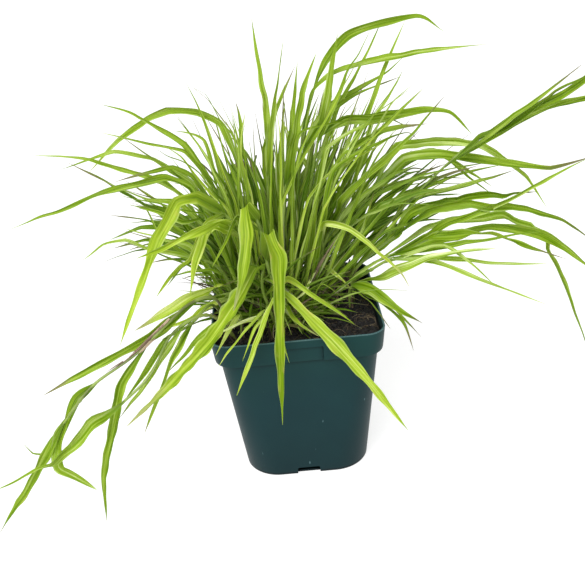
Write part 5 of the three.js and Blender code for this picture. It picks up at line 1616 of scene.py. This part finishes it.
def addCrumbs(parts, draw):
    block, faces = roundBlock()
    smallest, largest = loose["crumbSize"]
    for _ in range(loose["crumbs"]):
        place = np.array([onSoil(draw)])
        size = smallest + (largest - smallest) * draw() ** loose["crumbSmall"]
        stretch = np.array([between(draw, limits) for limits in loose["crumbSides"]])
        rough = 1 + loose["crumbRough"] * np.array([between(draw, (-1, 1)) for _ in block])
        spin = uprightTurn(2 * math.pi * draw())
        centre = onSurface(place, loose["crumbLift"] * size)[0]
        addPart(parts, centre + (block * rough[:, None] * stretch * size) @ spin, faces, 0)


def lyingPath(draw, length, lift, points):
    place = np.array(onSoil(draw))
    bearing = 2 * math.pi * draw()
    turn = between(draw, loose["curl"])
    path = []
    for _ in range(points):
        path.append(place)
        bearing += turn * between(draw, loose["curlEach"])
        place = place + length / (points - 1) * heading(bearing)[:2]
    limit = float(potHalfAt(soil["top"])) - pot["wall"] - loose["fromWall"] / 2
    path = np.clip(np.array(path), -limit, limit)
    path += np.arange(points)[:, None] * loose["spread"]
    return onSurface(path, lift)


def addFibres(parts, draw):
    for _ in range(loose["fibres"]):
        length = between(draw, loose["fibreLength"])
        path = lyingPath(draw, length, loose["fibreLift"], loose["fibrePoints"])
        path[:, 2] += [between(draw, loose["fibreRise"]) for _ in path]
        share = np.linspace(0, 1, loose["fibreRows"])
        place, _ = spacedPoints(path, share)
        radius = between(draw, loose["fibreRadius"]) * (1 - loose["fibreTaper"] * share)
        fibreLook = (loose["fibreTone"] * draw() ** 2, 0, draw())
        addTube(parts, place, radius, 1, share, fibreLook, loose["fibreSides"])


def addBark(parts, draw):
    for _ in range(loose["bark"]):
        path = lyingPath(draw, between(draw, loose["barkLength"]), loose["barkLift"], loose["barkPoints"])
        face = np.array([between(draw, loose["barkTilt"]), between(draw, loose["barkTilt"]), 1])
        stations = stationsOf(path, loose["barkFacets"], face, 0, 0)
        form, width = stripForm(draw, loose["barkFold"]), between(draw, loose["barkWidth"])
        addRibbon(parts, path, stations, width, 1, (loose["barkTone"] * draw(), 0, draw()), form)


# Old cut culms that stand round the crown.
def addStubs(parts, draw):
    for _ in range(loose["stubs"]):
        out = heading(2 * math.pi * draw())
        foot = np.array([*soil["crownCentre"], soil["top"] - loose["stubBelow"]])
        foot = foot + out * loose["stubReach"] * math.sqrt(draw())
        length = between(draw, loose["stubLength"]) * draw() + loose["stubLength"][0]
        lean = between(draw, loose["stubLean"])
        share = np.linspace(0, 1, loose["stubRows"])[:, None]
        bend = between(draw, loose["stubBend"]) * length * share * share
        place = foot + length * share * (np.array([0, 0, 1]) + lean * out) + bend * [out[1], -out[0], 0]
        radius = between(draw, loose["stubRadius"]) * (1 - loose["stubTaper"] * share[:, 0])
        stubLook = (between(draw, loose["stubTone"]), 0, draw())
        addTube(parts, place, radius, 1, share[:, 0], stubLook, loose["stubSides"])


draw = seededRandom(loose["seed"])
parts = newParts()
addCrumbs(parts, draw)
addFibres(parts, draw)
addBark(parts, draw)
addStubs(parts, draw)
makePiece("soil_litter", parts, [soilFinish, deadFinish], "peat_soil", sharp=60)
print("litter made")


# A plain pale floor, a white surround, a broad soft light overhead and a softbox for the pot's gleam.
studio = {
    "floorHalf": 6000, "floor": (0.4, 0.4, 0.4, 1), "floorGlow": 0.72, "floorRoughness": 0.9,
    "surround": 0.62,
    "overhead": {"from": (-0.3, -0.9, 1.15), "strength": 2.4, "angle": 40},
    "softbox": {"at": (-700, -900, 900), "size": 900, "power": 6},
}
half = studio["floorHalf"] * mm
floorMesh = bpy.data.meshes.new("paleFloor")
corners = [(-half, -half, 0), (half, -half, 0), (half, half, 0), (-half, half, 0)]
floorMesh.from_pydata(corners, [], [(0, 1, 2, 3)])
material, tree = newMaterial("paleMattFloor")
sockets = {
    "Base Color": studio["floor"], "Emission Color": "#ffffff", "Emission Strength": studio["floorGlow"],
}
painted = addNode(tree, "BsdfPrincipled", sockets, Roughness=studio["floorRoughness"])
addNode(tree, "OutputMaterial", Surface=painted)
floorMesh.materials.append(material)
floor = newObject("paleFloor", floorMesh)

world = bpy.data.worlds.new("whiteSurround")
world.use_nodes = True
seen = addNode(world.node_tree, "LightPath").outputs["Is Camera Ray"]
glow = addNode(world.node_tree, "MapRange", {0: seen, 3: studio["surround"], 4: 1})
surround = world.node_tree.nodes["Background"]
surround.inputs["Color"].default_value = linear("#ffffff")
world.node_tree.links.new(glow.outputs[0], surround.inputs["Strength"])
bpy.context.scene.world = world

sun = bpy.data.lights.new("overhead", "SUN")
sun.energy = studio["overhead"]["strength"]
sun.angle = math.radians(studio["overhead"]["angle"])
sunLamp = newObject("overhead", sun)
sunLamp.rotation_euler = Vector(studio["overhead"]["from"]).to_track_quat("Z", "Y").to_euler()

box = bpy.data.lights.new("softbox", "AREA")
box.energy = studio["softbox"]["power"]
box.size = studio["softbox"]["size"] * mm
boxLamp = newObject("softbox", box)
boxLamp.location = Vector(studio["softbox"]["at"]) * mm
boxLamp.rotation_euler = boxLamp.location.to_track_quat("Z", "Y").to_euler()

# The camera stands before the pot and a little above it, and leans to the left.
view = {
    "azimuth": -0.40, "elevation": 26.0, "lean": -4.95, "away": 686.8, "at": (-0.8, 0, 138.6),
    "lens": 53.68, "sensor": 36, "nearest": 10, "farthest": 50000,
}
turn, rise = math.radians(view["azimuth"]), math.radians(view["elevation"])
back = Vector((math.sin(turn) * math.cos(rise), -math.cos(turn) * math.cos(rise), math.sin(rise)))
camera = newObject("camera", bpy.data.cameras.new("camera"))
camera.data.lens = view["lens"]
camera.data.sensor_width = view["sensor"]
camera.data.clip_start = view["nearest"] * mm
camera.data.clip_end = view["farthest"] * mm
camera.matrix_world = (
    Matrix.Translation((Vector(view["at"]) + back * view["away"]) * mm)
    @ (-back).to_track_quat("-Z", "Y").to_matrix().to_4x4()
    @ Matrix.Rotation(math.radians(view["lean"]), 4, "Z")
)
bpy.context.scene.camera = camera
bpy.context.scene.view_settings.view_transform = "Standard"
print("stage and camera set")
